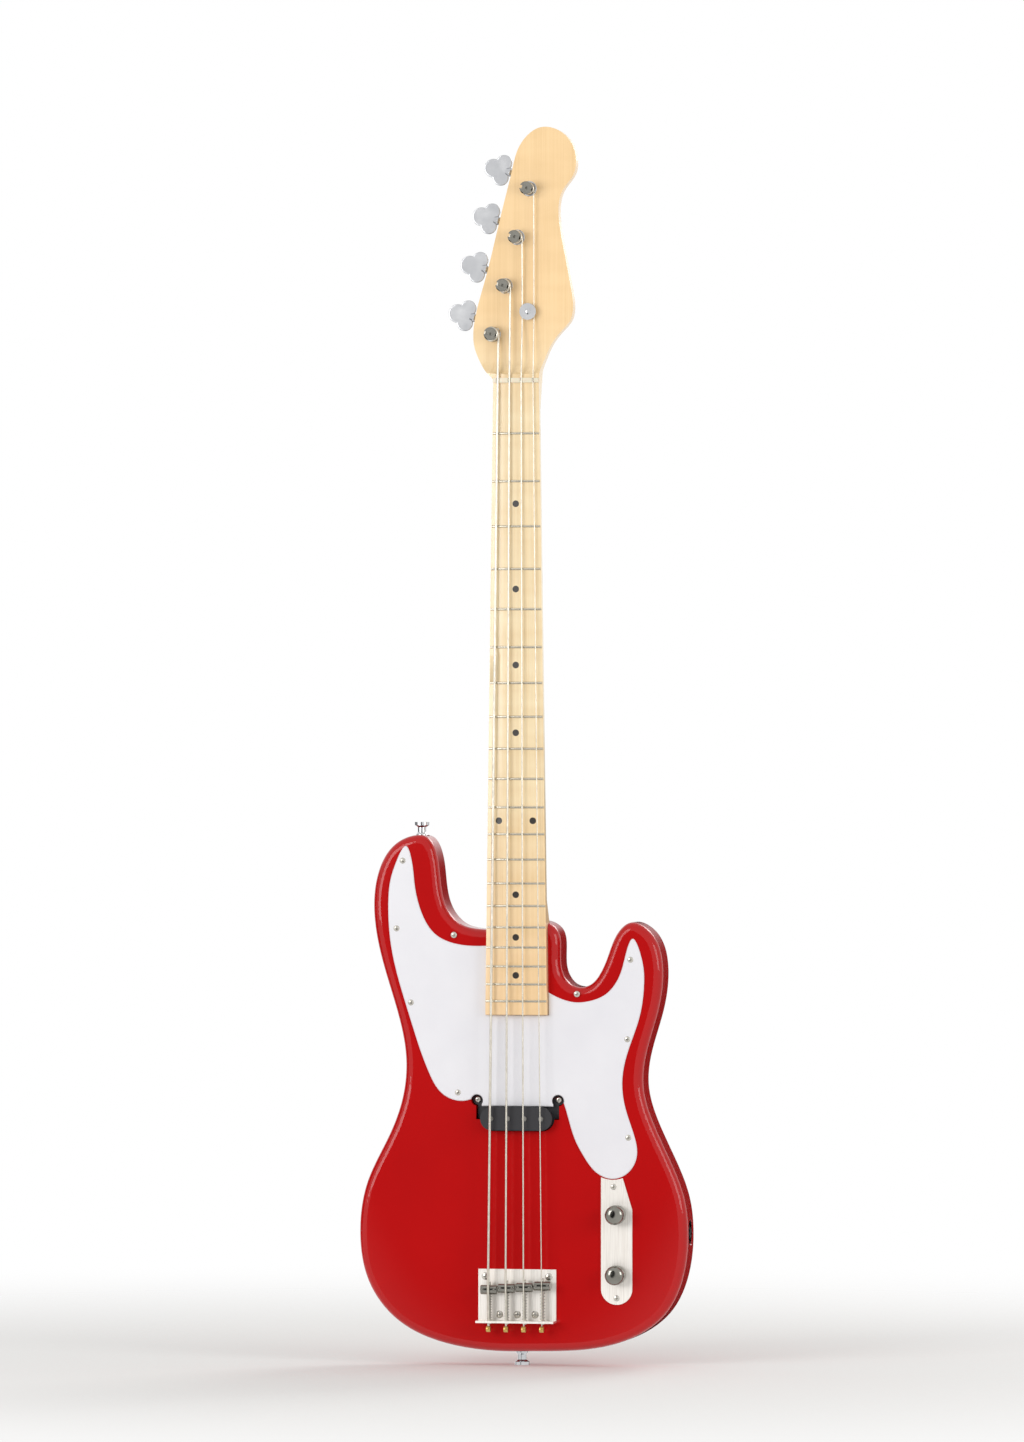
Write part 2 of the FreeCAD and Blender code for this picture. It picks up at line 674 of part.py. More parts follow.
def tuner_post():
    face = -HEAD_THICKNESS
    rim = face - FERRULE_RIM_HEIGHT
    collar = face - COLLAR_TOP
    waist = collar - WAIST_LENGTH
    top = waist - POST_HEAD_HEIGHT
    rear = WORM_W + GEAR_WIDTH / 2
    shoulder = WORM_W - GEAR_WIDTH / 2
    profile = [(0, rear), (GEAR_SEAT_RADIUS, rear), (GEAR_SEAT_RADIUS, shoulder), (POST_RADIUS, shoulder),
               (POST_RADIUS, rim), (COLLAR_RADIUS, rim), (COLLAR_RADIUS, collar), (WAIST_RADIUS, collar),
               (WAIST_RADIUS, waist), (COLLAR_RADIUS, waist - 0.8), (COLLAR_RADIUS, top + 0.8),
               (COLLAR_RADIUS - 0.8, top), (0, top)]
    slot = box(-COLLAR_RADIUS - 1, COLLAR_RADIUS + 1, -1.45, 1.45, top - 1, waist + 1.0)
    well = rod(Vector(0, 0, top - 1), Vector(0, 0, waist + 5.0), 1.45)
    screw_well = rod(Vector(0, 0, rear + 1), Vector(0, 0, rear - 6.5), 1.4 + SCREW_CLEARANCE)
    return turned(profile).cut([slot, well, screw_well])


def ferrule():
    face = -HEAD_THICKNESS
    bore = POST_RADIUS + POST_CLEARANCE
    profile = [(bore, face - FERRULE_RIM_HEIGHT), (FERRULE_RIM_RADIUS - 0.5, face - FERRULE_RIM_HEIGHT),
               (FERRULE_RIM_RADIUS, face - FERRULE_RIM_HEIGHT + 0.5), (FERRULE_RIM_RADIUS, face),
               (FERRULE_RADIUS, face), (FERRULE_RADIUS, face + FERRULE_LENGTH), (bore, face + FERRULE_LENGTH)]
    return turned(profile)


def post_hole():
    face = -HEAD_THICKNESS
    seat = rod(Vector(0, 0, face - 1), Vector(0, 0, face + FERRULE_LENGTH), FERRULE_RADIUS + 0.02)
    through = rod(Vector(0, 0, face), Vector(0, 0, 1), POST_RADIUS + CONTACT_GAP)
    return [seat, through]


def polar(radius, angle, w=0.0):
    return Vector(radius * math.cos(angle), radius * math.sin(angle), w)


def gear_section(w, turn):
    tip = CENTRE_DISTANCE - KEY_SHAFT_RADIUS - CONTACT_GAP
    root = GEAR_RADIUS - GEAR_MODULE - CONTACT_GAP
    slope = math.tan(math.radians(FLANK_DEGREES))
    half_tip = (TOOTH_WIDTH / 2 - (tip - GEAR_RADIUS) * slope) / tip
    half_root = (TOOTH_WIDTH / 2 + (GEAR_RADIUS - root) * slope) / root
    corners = []
    for tooth in range(GEAR_TEETH):
        middle = math.pi / 2 + turn + tooth * 2 * math.pi / GEAR_TEETH
        corners += [polar(root, middle - half_root, w), polar(tip, middle - half_tip, w),
                    polar(tip, middle + half_tip, w), polar(root, middle + half_root, w)]
    return Part.makePolygon(corners + corners[:1])


def gear():
    # The teeth lean by the worm's lead angle
    lean = WORM_PITCH / (2 * math.pi * WORM_RADIUS) / GEAR_RADIUS * GEAR_WIDTH / 2
    low = WORM_W - GEAR_WIDTH / 2
    high = WORM_W + GEAR_WIDTH / 2
    wheel = Part.makeLoft([gear_section(low, -lean), gear_section(high, lean)], True, True)
    bore = rod(Vector(0, 0, low - 1), Vector(0, 0, high + 1), GEAR_SEAT_RADIUS + 0.02)
    head = turned([(0, high), (3.2, high), (3.2, high + 0.4)], 1.6)
    shank = rod(Vector(0, 0, high - 6), Vector(0, 0, high + 0.2), 1.4)
    slot = box(-4, 4, -0.4, 0.4, high + 1.0, high + 4)
    return [wheel.cut(bore), fused([head, shank]).cut(slot)]


def worm_arc(radius, a, b):
    return Part.Arc(polar(radius, a), polar(radius, (a + b) / 2), polar(radius, b)).toShape()


def worm_flank(r0, a0, r1, a1):
    return spline([polar(r0 + (r1 - r0) * i / 5, a0 + (a1 - a0) * i / 5) for i in range(6)])


def worm():
    # Cross-section of a single right-hand thread, carried along its axis by a helix
    root = KEY_SHAFT_RADIUS - 0.1
    slope = math.tan(math.radians(FLANK_DEGREES))
    turn = 2 * math.pi / WORM_PITCH
    at_tip = (THREAD_WIDTH / 2 - (WORM_TIP - WORM_RADIUS) * slope) * turn
    at_root = (THREAD_WIDTH / 2 + (WORM_RADIUS - root) * slope) * turn
    full = 2 * math.pi
    section = Part.Wire([
        worm_arc(WORM_TIP, -at_tip, at_tip), worm_flank(WORM_TIP, at_tip, root, at_root),
        worm_arc(root, at_root, full - at_root), worm_flank(root, full - at_root, WORM_TIP, full - at_tip),
    ])
    sweep = Part.BRepOffsetAPI.MakePipeShell(Part.Wire([Part.makeLine(Vector(), Vector(0, 0, WORM_LENGTH))]))
    guide = Part.makeHelix(WORM_PITCH, WORM_LENGTH, WORM_TIP + 1)
    sweep.setAuxiliarySpine(Part.Wire(guide.Edges), True, 0)
    sweep.add(section)
    sweep.build()
    sweep.makeSolid()
    thread = sweep.shape()
    # Turn the thread so that a gap faces the gear half-way along
    half_turns = WORM_LENGTH / 2 / WORM_PITCH * 360
    thread.rotate(Vector(), Vector(0, 0, 1), -half_turns)
    thread.translate(Vector(0, 0, -WORM_LENGTH / 2))
    axis = FreeCAD.Matrix(0, 0, 1, 0, 1, 0, 0, CENTRE_DISTANCE, 0, 1, 0, WORM_W)
    thread = thread.transformGeometry(axis)
    spindle = rod(Vector(-LUG_U - LUG_THICKNESS - 0.6, CENTRE_DISTANCE, WORM_W),
                  Vector(KEY_START + 6, CENTRE_DISTANCE, WORM_W), KEY_SHAFT_RADIUS)
    return fused([thread, spindle])


def key():
    low = WORM_W - KEY_THICKNESS / 2
    high = WORM_W + KEY_THICKNESS / 2

    def disc(u, v, radius):
        return rod(Vector(u, CENTRE_DISTANCE + v, low), Vector(u, CENTRE_DISTANCE + v, high), radius)

    stem = KEY_START + 4.0
    web = Part.makeBox(13, 10, KEY_THICKNESS, Vector(stem, CENTRE_DISTANCE - 5, low))
    leaf = fused([web, disc(stem + 5.5, 7.2, 7.8), disc(stem + 5.5, -7.2, 7.8), disc(stem + 14.5, 0, 9.0)])
    leaf = leaf.makeFillet(KEY_THICKNESS * 0.3, leaf.Edges)
    neck = turned([(0, 0), (3.6, 0), (4.4, 1.5), (4.4, 3.0), (3.2, 6.0), (0, 6.0)])
    neck = placed(neck, Vector(KEY_START, CENTRE_DISTANCE, WORM_W), Vector(1, 0, 0))
    bore = rod(Vector(KEY_START - 1, CENTRE_DISTANCE, WORM_W), Vector(KEY_START + 6, CENTRE_DISTANCE, WORM_W),
               KEY_SHAFT_RADIUS + 0.02)
    return fused([leaf, neck]).cut(bore)


# Strings

def string_x(index, pitch):
    return (index - 1.5) * pitch


def string_y(x, action, radius):
    return BOARD_Y + camber(x) - action - radius


def saddle_spot(index):
    # Where the string's centre line turns over its saddle
    x = string_x(index, BRIDGE_PITCH)
    return Vector(x, string_y(x, ACTION_SADDLE, STRING_RADII[index]), SADDLE_Z - SADDLE_OFFSETS[index])


def saddle_axis(index):
    drop = STRING_RADII[index] + CONTACT_GAP + SADDLE_RADIUS - SADDLE_GROOVE
    return saddle_spot(index) + Vector(0, drop, 0)


def lip_spot(index):
    return Vector(string_x(index, BRIDGE_PITCH), saddle_axis(index).y - STRING_HOLE_RISE, BRIDGE_REAR)


def string_course(index):
    radius = STRING_RADII[index]
    lip = lip_spot(index)
    saddle = saddle_spot(index)
    nut_x = string_x(index, NUT_PITCH)
    nut = Vector(nut_x, string_y(nut_x, ACTION_NUT, radius), NUT_Z + NUT_THICKNESS / 2)
    start = lip + (lip - saddle).normalize() * 3.0
    wrap_y = HEAD_FACE - COLLAR_TOP - WRAP_LIFT - radius
    corners = [start, saddle, nut]
    if index > 1:
        under = HEAD_FACE - TREE_HEIGHT + CONTACT_GAP + radius
        corners += [Vector(nut_x, under, NUT_Z + TREE_RISE + side) for side in (-TREE_RADIUS, TREE_RADIUS)]
    corners.append(Vector(nut_x, wrap_y, post_place(index).z))
    edges, run_start = bent(corners, STRING_BEND)
    edges.append(Part.makeLine(run_start, corners[-1]))
    wrap, spots = string_wrap(index, corners[-1], (corners[-1] - corners[-2]).normalize())
    print("string", STRING_NAMES[index], "wrap gap", round(least_gap(spots, 2 * radius), 3))
    ball = placed(turned([(0, 0), (BALL_RADIUS, 0), (BALL_RADIUS, BALL_LENGTH), (0, BALL_LENGTH)]),
                  start - Vector(BALL_LENGTH / 2, 0, BALL_RADIUS), Vector(1, 0, 0))
    return [tube(edges + wrap, radius, "string " + STRING_NAMES[index]), ball]


def string_wrap(index, start, way):
    # Turns up the waist of the post, in quarter turns
    radius = STRING_RADII[index]
    centre = post_place(index)
    reach = WAIST_RADIUS + CONTACT_GAP + radius
    rise = 2 * radius + WRAP_GAP

    def spot(turns):
        angle = 2 * math.pi * turns
        return Vector(centre.x + reach * math.cos(angle), start.y - rise * turns,
                      centre.z + reach * math.sin(angle))

    def heading(turns):
        angle = 2 * math.pi * turns
        return Vector(-2 * math.pi * reach * math.sin(angle), -rise,
                      2 * math.pi * reach * math.cos(angle)).normalize()

    edges = []
    here = start
    for quarter in range(1, int(WRAP_TURNS * 4) + 1):
        there = spot(quarter / 4)
        edges += biarc(here, way, there, heading(quarter / 4))
        here = there
        way = heading(quarter / 4)
    return edges, [spot(step / 24) for step in range(int(WRAP_TURNS * 24) + 1)]


# Bridge

def spring(start, end, name):
    # Coil from start to end along their line, its ends turned to run along that line
    along = (end - start).normalize()
    across = Vector(1, 0, 0)
    other = along.cross(across)
    wire = 2 * SPRING_WIRE_RADIUS
    lead = 3 * wire
    length = (end - start).Length - 2 * lead
    rise = length / SPRING_TURNS

    def spot(turns):
        angle = 2 * math.pi * turns
        return (start + along * (lead + rise * turns)
                + (across * math.cos(angle) + other * math.sin(angle)) * SPRING_COIL_RADIUS)

    def heading(turns):
        angle = 2 * math.pi * turns
        turn = (other * math.cos(angle) - across * math.sin(angle)) * (2 * math.pi * SPRING_COIL_RADIUS)
        return (turn + along * rise).normalize()

    rest = lead - rise * SPRING_TAIL - wire
    first = spot(-SPRING_TAIL) - along * rest
    last = spot(SPRING_TURNS + SPRING_TAIL) + along * rest
    edges = [Part.makeLine(first - along * wire, first)]
    edges += biarc(first, along, spot(0), heading(0))
    for half in range(2 * SPRING_TURNS):
        edges += biarc(spot(half / 2), heading(half / 2), spot(half / 2 + 0.5), heading(half / 2 + 0.5))
    edges += biarc(spot(SPRING_TURNS), heading(SPRING_TURNS), last, along)
    edges.append(Part.makeLine(last, last + along * wire))
    spots = [spot(step / 24) for step in range(24 * SPRING_TURNS + 1)]
    print(name, "spring gap", round(least_gap(spots, wire), 3))
    return tube(edges, SPRING_WIRE_RADIUS, name)


def bridge_plate():
    half = BRIDGE_WIDTH / 2
    face = FRONT - BRIDGE_THICKNESS
    base = box(-half, half, face, FRONT, BRIDGE_REAR, BRIDGE_REAR + BRIDGE_LENGTH)
    lip = box(-half, half, FRONT - BRIDGE_LIP, FRONT, BRIDGE_REAR, BRIDGE_REAR + BRIDGE_THICKNESS)
    plate = fused([base, lip])
    heel = [edge for edge in plate.Edges if edge.BoundBox.YMin > FRONT - 0.01
            and edge.BoundBox.ZMax < BRIDGE_REAR + 0.01]
    plate = plate.makeFillet(BRIDGE_THICKNESS * 0.9, heel)
    holes = at_screws(BRIDGE_HOLE, BRIDGE_SCREWS, face, TO_FRONT, BRIDGE_REAR)
    for index in range(4):
        lip_hole = lip_spot(index)
        screw_y = saddle_axis(index).y + INTONATION_DROP
        behind = Vector(0, 0, -5)
        ahead = Vector(0, 0, 6)
        holes.append(rod(lip_hole + behind, lip_hole + ahead, STRING_RADII[index] + STRING_HOLE_CLEARANCE))
        seat = Vector(lip_hole.x, screw_y, BRIDGE_REAR)
        holes.append(rod(seat + behind, seat + ahead, INTONATION_RADIUS + SCREW_CLEARANCE))
    return plate.cut(holes)


BRIDGE_SCREWS = [(side * (BRIDGE_WIDTH / 2 - BRIDGE_SCREW_INSET), BRIDGE_LENGTH - BRIDGE_SCREW_INSET)
                 for side in (-1, 1)]
REAR_ROW = BRIDGE_THICKNESS + BRIDGE_SCREW_HEAD + BRIDGE_SCREW_MARGIN
BRIDGE_SCREWS += [(gap * BRIDGE_PITCH, REAR_ROW) for gap in (-1, 0, 1)]
BRIDGE_SCREW = screw(BRIDGE_SCREW_HEAD, BRIDGE_SCREW_SHANK, BRIDGE_SCREW_LENGTH)
BRIDGE_HOLE = screw_hole(BRIDGE_SCREW_HEAD, BRIDGE_SCREW_SHANK, BRIDGE_SCREW_LENGTH)


def saddle(index):
    axis = saddle_axis(index)
    half = (BRIDGE_PITCH - SADDLE_GAP) / 2
    across = Vector(half, 0, 0)
    barrel = rod(axis - across, axis + across, SADDLE_RADIUS)
    ends = [edge for edge in barrel.Edges if isinstance(edge.Curve, Part.Circle)]
    barrel = barrel.makeFillet(0.6, ends)
    spot = saddle_spot(index)
    groove = rod(spot - Vector(0, 0, 10), spot + Vector(0, 0, 10), STRING_RADII[index] + CONTACT_GAP)
    screw_y = Vector(axis.x, axis.y + INTONATION_DROP, axis.z)
    drill = rod(screw_y - Vector(0, 0, 10), screw_y + Vector(0, 0, 10), INTONATION_RADIUS + SCREW_CLEARANCE)
    wells = [post(axis.x + side, axis.z, HEIGHT_SCREW_RADIUS + SCREW_CLEARANCE, FRONT, BOARD_Y - 20)
             for side in (-HEIGHT_SCREW_SPREAD, HEIGHT_SCREW_SPREAD)]
    return barrel.cut([groove, drill] + wells)


def height_screws(index):
    axis = saddle_axis(index)
    screws = []
    for side in (-HEIGHT_SCREW_SPREAD, HEIGHT_SCREW_SPREAD):
        top = axis.y - SADDLE_RADIUS
        bar = post(axis.x + side, axis.z, HEIGHT_SCREW_RADIUS, FRONT - BRIDGE_THICKNESS, top)
        socket = post(axis.x + side, axis.z, HEIGHT_SCREW_RADIUS * 0.5, top + 1.5, top - 1)
        screws.append(bar.cut(socket))
    return screws


def intonation_screw(index):
    axis = saddle_axis(index)
    head = Vector(axis.x, axis.y + INTONATION_DROP, BRIDGE_REAR)
    tip = axis.z + SADDLE_RADIUS + 3.0 - BRIDGE_REAR
    high = INTONATION_HEAD_HEIGHT
    profile = [(0, -tip), (INTONATION_RADIUS, -tip), (INTONATION_RADIUS, 0), (INTONATION_HEAD_RADIUS, 0),
               (INTONATION_HEAD_RADIUS, high * 0.5)]
    solid = turned(profile, high * 0.5)
    cross = cross_recess(INTONATION_HEAD_RADIUS * 0.55, 0.35, high * 0.6, high * 2)
    return placed(solid.cut(cross), head, Vector(0, 0, -1))


def intonation_spring(index):
    axis = saddle_axis(index)
    low = Vector(axis.x, axis.y + INTONATION_DROP, BRIDGE_REAR + BRIDGE_THICKNESS)
    below = SPRING_COIL_RADIUS * math.sin(2 * math.pi * SPRING_TAIL) - SPRING_WIRE_RADIUS
    reach = math.sqrt(SADDLE_RADIUS ** 2 - (INTONATION_DROP + below) ** 2)
    high = Vector(low.x, low.y, axis.z - reach - CONTACT_GAP / 2)
    return spring(low, high, "spring " + STRING_NAMES[index])


# Pickup

def bar_of_pickup(grow, y0, y1):
    # A bar with round ends: the pickup's outline moved outwards
    half = PICKUP_DEPTH / 2 + grow
    reach = (PICKUP_WIDTH - PICKUP_DEPTH) / 2
    ends = [post(side * reach, PICKUP_Z, half, y0, y1) for side in (-1, 1)]
    return fused([box(-reach, reach, y0, y1, PICKUP_Z - half, PICKUP_Z + half)] + ends)


def eared_plate(grow, y0, y1):
    # The bar with its two ears and the arms that carry them
    shapes = [bar_of_pickup(grow, y0, y1)]
    for side in (-1, 1):
        low, high = sorted((side * (EAR_X - EAR_ARM - grow), side * (EAR_X + grow)))
        shapes.append(box(low, high, y0, y1, PICKUP_Z - grow, PICKUP_Z + EAR_RISE + grow))
        shapes.append(post(side * EAR_X, PICKUP_Z + EAR_RISE, EAR_RADIUS + grow, y0, y1))
    return fused(shapes)


PICKUP_TOP = FRONT - PICKUP_PROUD
COIL_TOP = PICKUP_TOP + FLATWORK
COIL_BASE = COIL_TOP + COIL_HEIGHT
PICKUP_BASE = COIL_BASE + FLATWORK


def pole_places():
    z = PICKUP_Z
    share = (z - SADDLE_Z) / SCALE_LENGTH
    pitch = BRIDGE_PITCH + (NUT_PITCH - BRIDGE_PITCH) * share
    return [(index - 1.5) * pitch for index in range(4)]


def poles():
    return [post(x, PICKUP_Z, POLE_RADIUS, PICKUP_TOP - POLE_PROUD, PICKUP_BASE + 1.0) for x in pole_places()]


def pickup_bobbin():
    holes = poles()
    ear_holes = [post(side, PICKUP_Z + EAR_RISE, SMALL_SHANK_RADIUS + SCREW_CLEARANCE, FRONT - 20, BACK)
                 for side in (-EAR_X, EAR_X)]
    top = bar_of_pickup(0, PICKUP_TOP, COIL_TOP).cut(holes)
    base = eared_plate(0, COIL_BASE, PICKUP_BASE).cut(holes + ear_holes)
    return [top, base]


def pickup_coil():
    return bar_of_pickup(-COIL_INSET, COIL_TOP, COIL_BASE).cut(poles())


def pickup_screws():
    sink = SMALL_HEAD_RADIUS - SMALL_SHANK_RADIUS
    solid = screw(SMALL_HEAD_RADIUS, SMALL_SHANK_RADIUS, FLATWORK + PICKUP_SCREW_GRIP)
    return [placed(solid, Vector(side, COIL_BASE - sink, PICKUP_Z + EAR_RISE), TO_FRONT)
            for side in (-EAR_X, EAR_X)]


def pickup_cavity():
    return eared_plate(PICKUP_CAVITY_GAP, FRONT - 1, FRONT + PICKUP_CAVITY_DEPTH)


# Pickguard and control plate

def guard_cutters():
    # Neck, pickup ears
    gap = GUARD_NECK_GAP
    low = NECK_END - gap
    high = HEEL_TOP + 200
    corners = [Vector(side * (board_half_width(z) + gap), FRONT - 5, z)
               for side, z in ((-1, low), (1, low), (1, high), (-1, high))]
    neck = slab(polyline(corners + corners[:1]), 10)
    notches = [post(side, PICKUP_Z + EAR_RISE - NOTCH_DROP, EAR_RADIUS + NOTCH_GAP, FRONT - 5, FRONT + 5)
               for side in (-EAR_X, EAR_X)]
    return [neck] + notches


def pickguard():
    half = TONGUE_WIDTH / 2
    end = PICKUP_Z + PICKUP_DEPTH / 2 + TONGUE_GAP - BODY_END
    bass = points(GUARD_BASS_SIDE, FRONT)
    treble = points(GUARD_TREBLE_SIDE, FRONT)
    tongue = points([(-half, GUARD_SHOULDER), (-half, end), (half, end), (half, GUARD_SHOULDER)], FRONT)
    edges = [spline(bass)] + polyline([bass[-1]] + tongue + [treble[0]])
    edges += [spline(treble), Part.makeLine(treble[-1], bass[0])]
    face = FRONT - GUARD_THICKNESS
    plate = slab(edges, -GUARD_THICKNESS).cut(guard_cutters())
    rim = [edge for edge in plate.Edges if edge.BoundBox.YMax < face + 0.01]
    return plate.makeChamfer(GUARD_BEVEL, rim).cut(at_screws(SMALL_HOLE, GUARD_SCREWS, face))


CONTROL_TOP = min(height for x, height in GUARD_TREBLE_SIDE) - CONTROL_GAP
CONTROL_SCREWS = [(CONTROL_X + CONTROL_UPPER_SCREW[0], CONTROL_TOP + CONTROL_UPPER_SCREW[1]),
                  (CONTROL_X, TONE_HEIGHT - CONTROL_FOOT - CONTROL_LOWER_SCREW)]
CONTROL_CAVITY_HALF = POT_RADIUS + POT_CLEARANCE
CONTROL_CAVITY_LOW = BODY_END + TONE_HEIGHT - CONTROL_CAVITY_END
CONTROL_CAVITY_HIGH = BODY_END + VOLUME_HEIGHT + CONTROL_CAVITY_END


def control_edges(y):
    half = CONTROL_WIDTH / 2
    left = CONTROL_X - half
    right = CONTROL_X + half
    top = CONTROL_TOP
    crest, corner = [(CONTROL_X + x, top + rise) for x, rise in (CONTROL_CREST, CONTROL_CORNER)]
    a, m, b = points([(left, top + CONTROL_LEFT_RISE), crest, corner], y)
    shoulder = VOLUME_HEIGHT + CONTROL_SHOULDER
    low = TONE_HEIGHT - CONTROL_FOOT
    right_high, right_low, left_low = points([(right, shoulder), (right, low), (left, low)], y)
    foot = Vector(CONTROL_X, y, BODY_END + low - half)
    return ([Part.Arc(a, m, b).toShape()] + polyline([b, right_high, right_low])
            + [Part.Arc(right_low, foot, left_low).toShape(), Part.makeLine(left_low, a)])


def control_plate():
    face = FRONT - CONTROL_THICKNESS
    plate = slab(control_edges(FRONT), -CONTROL_THICKNESS)
    holes = at_screws(SMALL_HOLE, CONTROL_SCREWS, face)
    for spot in pot_places():
        holes.append(post(spot.x, spot.z, PANEL_BUSHING_RADIUS + SCREW_CLEARANCE, FRONT - 5, FRONT + 5))
    return plate.cut(holes)


def pot_places():
    return points([(CONTROL_X, VOLUME_HEIGHT), (CONTROL_X, TONE_HEIGHT)], FRONT)


def potentiometer():
    # The plate's inner face is at height 0 and the bushing rises through it
    bore = SHAFT_RADIUS + SHAFT_CLEARANCE
    rise = POT_BUSHING_LENGTH
    low = -POT_HEIGHT
    profile = [(0, low), (POT_RADIUS - 0.8, low), (POT_RADIUS, low + 0.8), (POT_RADIUS, 0),
               (PANEL_BUSHING_RADIUS, 0), (PANEL_BUSHING_RADIUS, rise), (bore, rise), (bore, -SHAFT_WELL),
               (0, -SHAFT_WELL)]
    can = turned(profile)
    lugs = [box(x - 1.0, x + 1.0, -POT_RADIUS - 3.0, -POT_RADIUS + 1.0, -LUG_BACK, -LUG_BACK / 2)
            for x in (-LUG_SPREAD, 0, LUG_SPREAD)]
    return fused([can] + lugs)


def hex_ring(flats, bore, low, high):
    radius = flats / math.sqrt(3)
    corners = [polar(radius, math.pi / 3 * side, low) for side in range(6)]
    prism = Part.Face(Part.makePolygon(corners + corners[:1])).extrude(Vector(0, 0, high - low))
    return prism.cut(rod(Vector(0, 0, low - 1), Vector(0, 0, high + 1), bore))


def panel_nut(base):
    washer_top = base + PANEL_WASHER_HEIGHT
    bore = PANEL_BUSHING_RADIUS + SCREW_CLEARANCE
    washer = turned([(bore, base), (PANEL_WASHER_RADIUS, base), (PANEL_WASHER_RADIUS, washer_top),
                     (bore, washer_top)])
    return [washer, hex_ring(PANEL_NUT_FLATS, bore, washer_top, washer_top + PANEL_NUT_HEIGHT)]


def at_pots(shapes):
    return [placed(shape, spot, TO_FRONT) for spot in pot_places() for shape in shapes]


KNOB_BASE = CONTROL_THICKNESS + KNOB_LIFT
KNOB_TOP = KNOB_BASE + KNOB_HEIGHT
SHAFT_WELL = 2.0


def pot_shaft():
    start = Vector(0, 0, CONTACT_GAP - SHAFT_WELL)
    return rod(start, Vector(0, 0, KNOB_TOP - KNOB_CAP - CONTACT_GAP), SHAFT_RADIUS)


def knob():
    low = KNOB_BASE
    top = KNOB_TOP
    bore = SHAFT_RADIUS + 0.02
    well = KNOB_TOP - KNOB_CAP
    inside = KNOB_RADIUS - KNOB_WALL
    profile = [(inside, low), (KNOB_RADIUS, low), (KNOB_RADIUS, top - 1.2), (KNOB_RADIUS - 1.2, top),
               (0, top), (0, well), (bore, well), (bore, low + KNOB_RECESS), (inside, low + KNOB_RECESS)]
    body = turned(profile)
    height = low + KNOB_RECESS + 4.0
    drill = rod(Vector(0, 0, height), Vector(KNOB_RADIUS + 1, 0, height), 1.5 + SCREW_CLEARANCE)
    grub = rod(Vector(bore, 0, height), Vector(KNOB_RADIUS - 1.0, 0, height), 1.5)
    slot = box(KNOB_RADIUS - 1.8, KNOB_RADIUS, -0.3, 0.3, height - 2, height + 2)
    return [body.cut(drill), grub.cut(slot)]


def control_cavity():
    return bar_with_round_ends(CONTROL_X, CONTROL_CAVITY_HALF, CONTROL_CAVITY_LOW, CONTROL_CAVITY_HIGH,
                               FRONT - 1, FRONT + CONTROL_CAVITY_DEPTH)


def capacitor():
    # Lies against the back of the two potentiometers' side, on the cavity wall
    z = BODY_END + (VOLUME_HEIGHT + TONE_HEIGHT) / 2
    x = CONTROL_X - CONTROL_CAVITY_HALF + CAPACITOR_RADIUS + 0.1
    y = FRONT + CAPACITOR_RADIUS + 6.0
    half = CAPACITOR_LENGTH / 2
    return rod(Vector(x, y, z - half), Vector(x, y, z + half), CAPACITOR_RADIUS)


# Output jack

OUTWARD = Vector(1, 0, 0)


def on_outline(inside, way):
    # Where a ray from inside the body first leaves its outline
    outline = spline(points(BODY_OUTLINE), True)
    ray = Part.makeLine(inside, inside + way * 400)
    crossings = [pair[0] for pair in outline.distToShape(ray)[1]]
    return min(crossings, key=lambda spot: (spot - inside).Length)


JACK_SEAT = on_outline(Vector(CONTROL_X, 0, JACK_Z), OUTWARD) - OUTWARD * JACK_RECESS


def jack_cup():
    floor = -JACK_CUP_DEPTH
    wall = JACK_CUP_RADIUS - JACK_WALL
    hole = PANEL_BUSHING_RADIUS + SCREW_CLEARANCE
    profile = [(hole, floor), (JACK_CUP_RADIUS, floor), (JACK_CUP_RADIUS, -1.0), (JACK_RIM_RADIUS, -1.0),
               (JACK_RIM_RADIUS, 0), (wall, 0), (wall, floor + JACK_WALL), (hole, floor + JACK_WALL)]
    return placed(turned(profile), JACK_SEAT, OUTWARD)


def jack_socket():
    floor = -JACK_CUP_DEPTH
    tip = floor + JACK_BUSHING_LENGTH
    rear = floor - JACK_BODY_LENGTH
    chamber = JACK_BODY_RADIUS - 1.0
    bore = JACK_BORE_RADIUS
    profile = [(bore, tip), (PANEL_BUSHING_RADIUS, tip), (PANEL_BUSHING_RADIUS, floor),
               (JACK_BODY_RADIUS, floor), (JACK_BODY_RADIUS, rear), (0, rear), (0, rear + 1.0),
               (chamber, rear + 1.0), (chamber, floor - 4.0), (bore, floor - 4.0)]
    return placed(turned(profile), JACK_SEAT, OUTWARD)


def jack_nut():
    base = -JACK_CUP_DEPTH + JACK_WALL
    return [placed(shape, JACK_SEAT, OUTWARD) for shape in panel_nut(base)]


def jack_hole():
    inner = Vector(CONTROL_X, 0, JACK_Z)
    hole = rod(inner, JACK_SEAT + OUTWARD * 20, JACK_CUP_RADIUS + SCREW_CLEARANCE)
    rim = rod(JACK_SEAT - OUTWARD, JACK_SEAT + OUTWARD * 20, JACK_RIM_RADIUS + SCREW_CLEARANCE)
    return [hole, rim]


# Neck plate, bolts and strap buttons

PLATE_Z = NECK_END + NECK_PLATE_RISE
BOLT_PLACES = [(x, z) for x in (-NECK_BOLT_X, NECK_BOLT_X) for z in (-NECK_BOLT_Z, NECK_BOLT_Z)]
NECK_BOLT = screw(NECK_BOLT_HEAD, NECK_BOLT_RADIUS, NECK_BOLT_LENGTH)
NECK_BOLT_HOLE = screw_hole(NECK_BOLT_HEAD, NECK_BOLT_RADIUS, NECK_BOLT_LENGTH)


def at_bolts(shape):
    return at_screws(shape, BOLT_PLACES, BACK + NECK_PLATE_THICKNESS, TO_BACK, PLATE_Z)


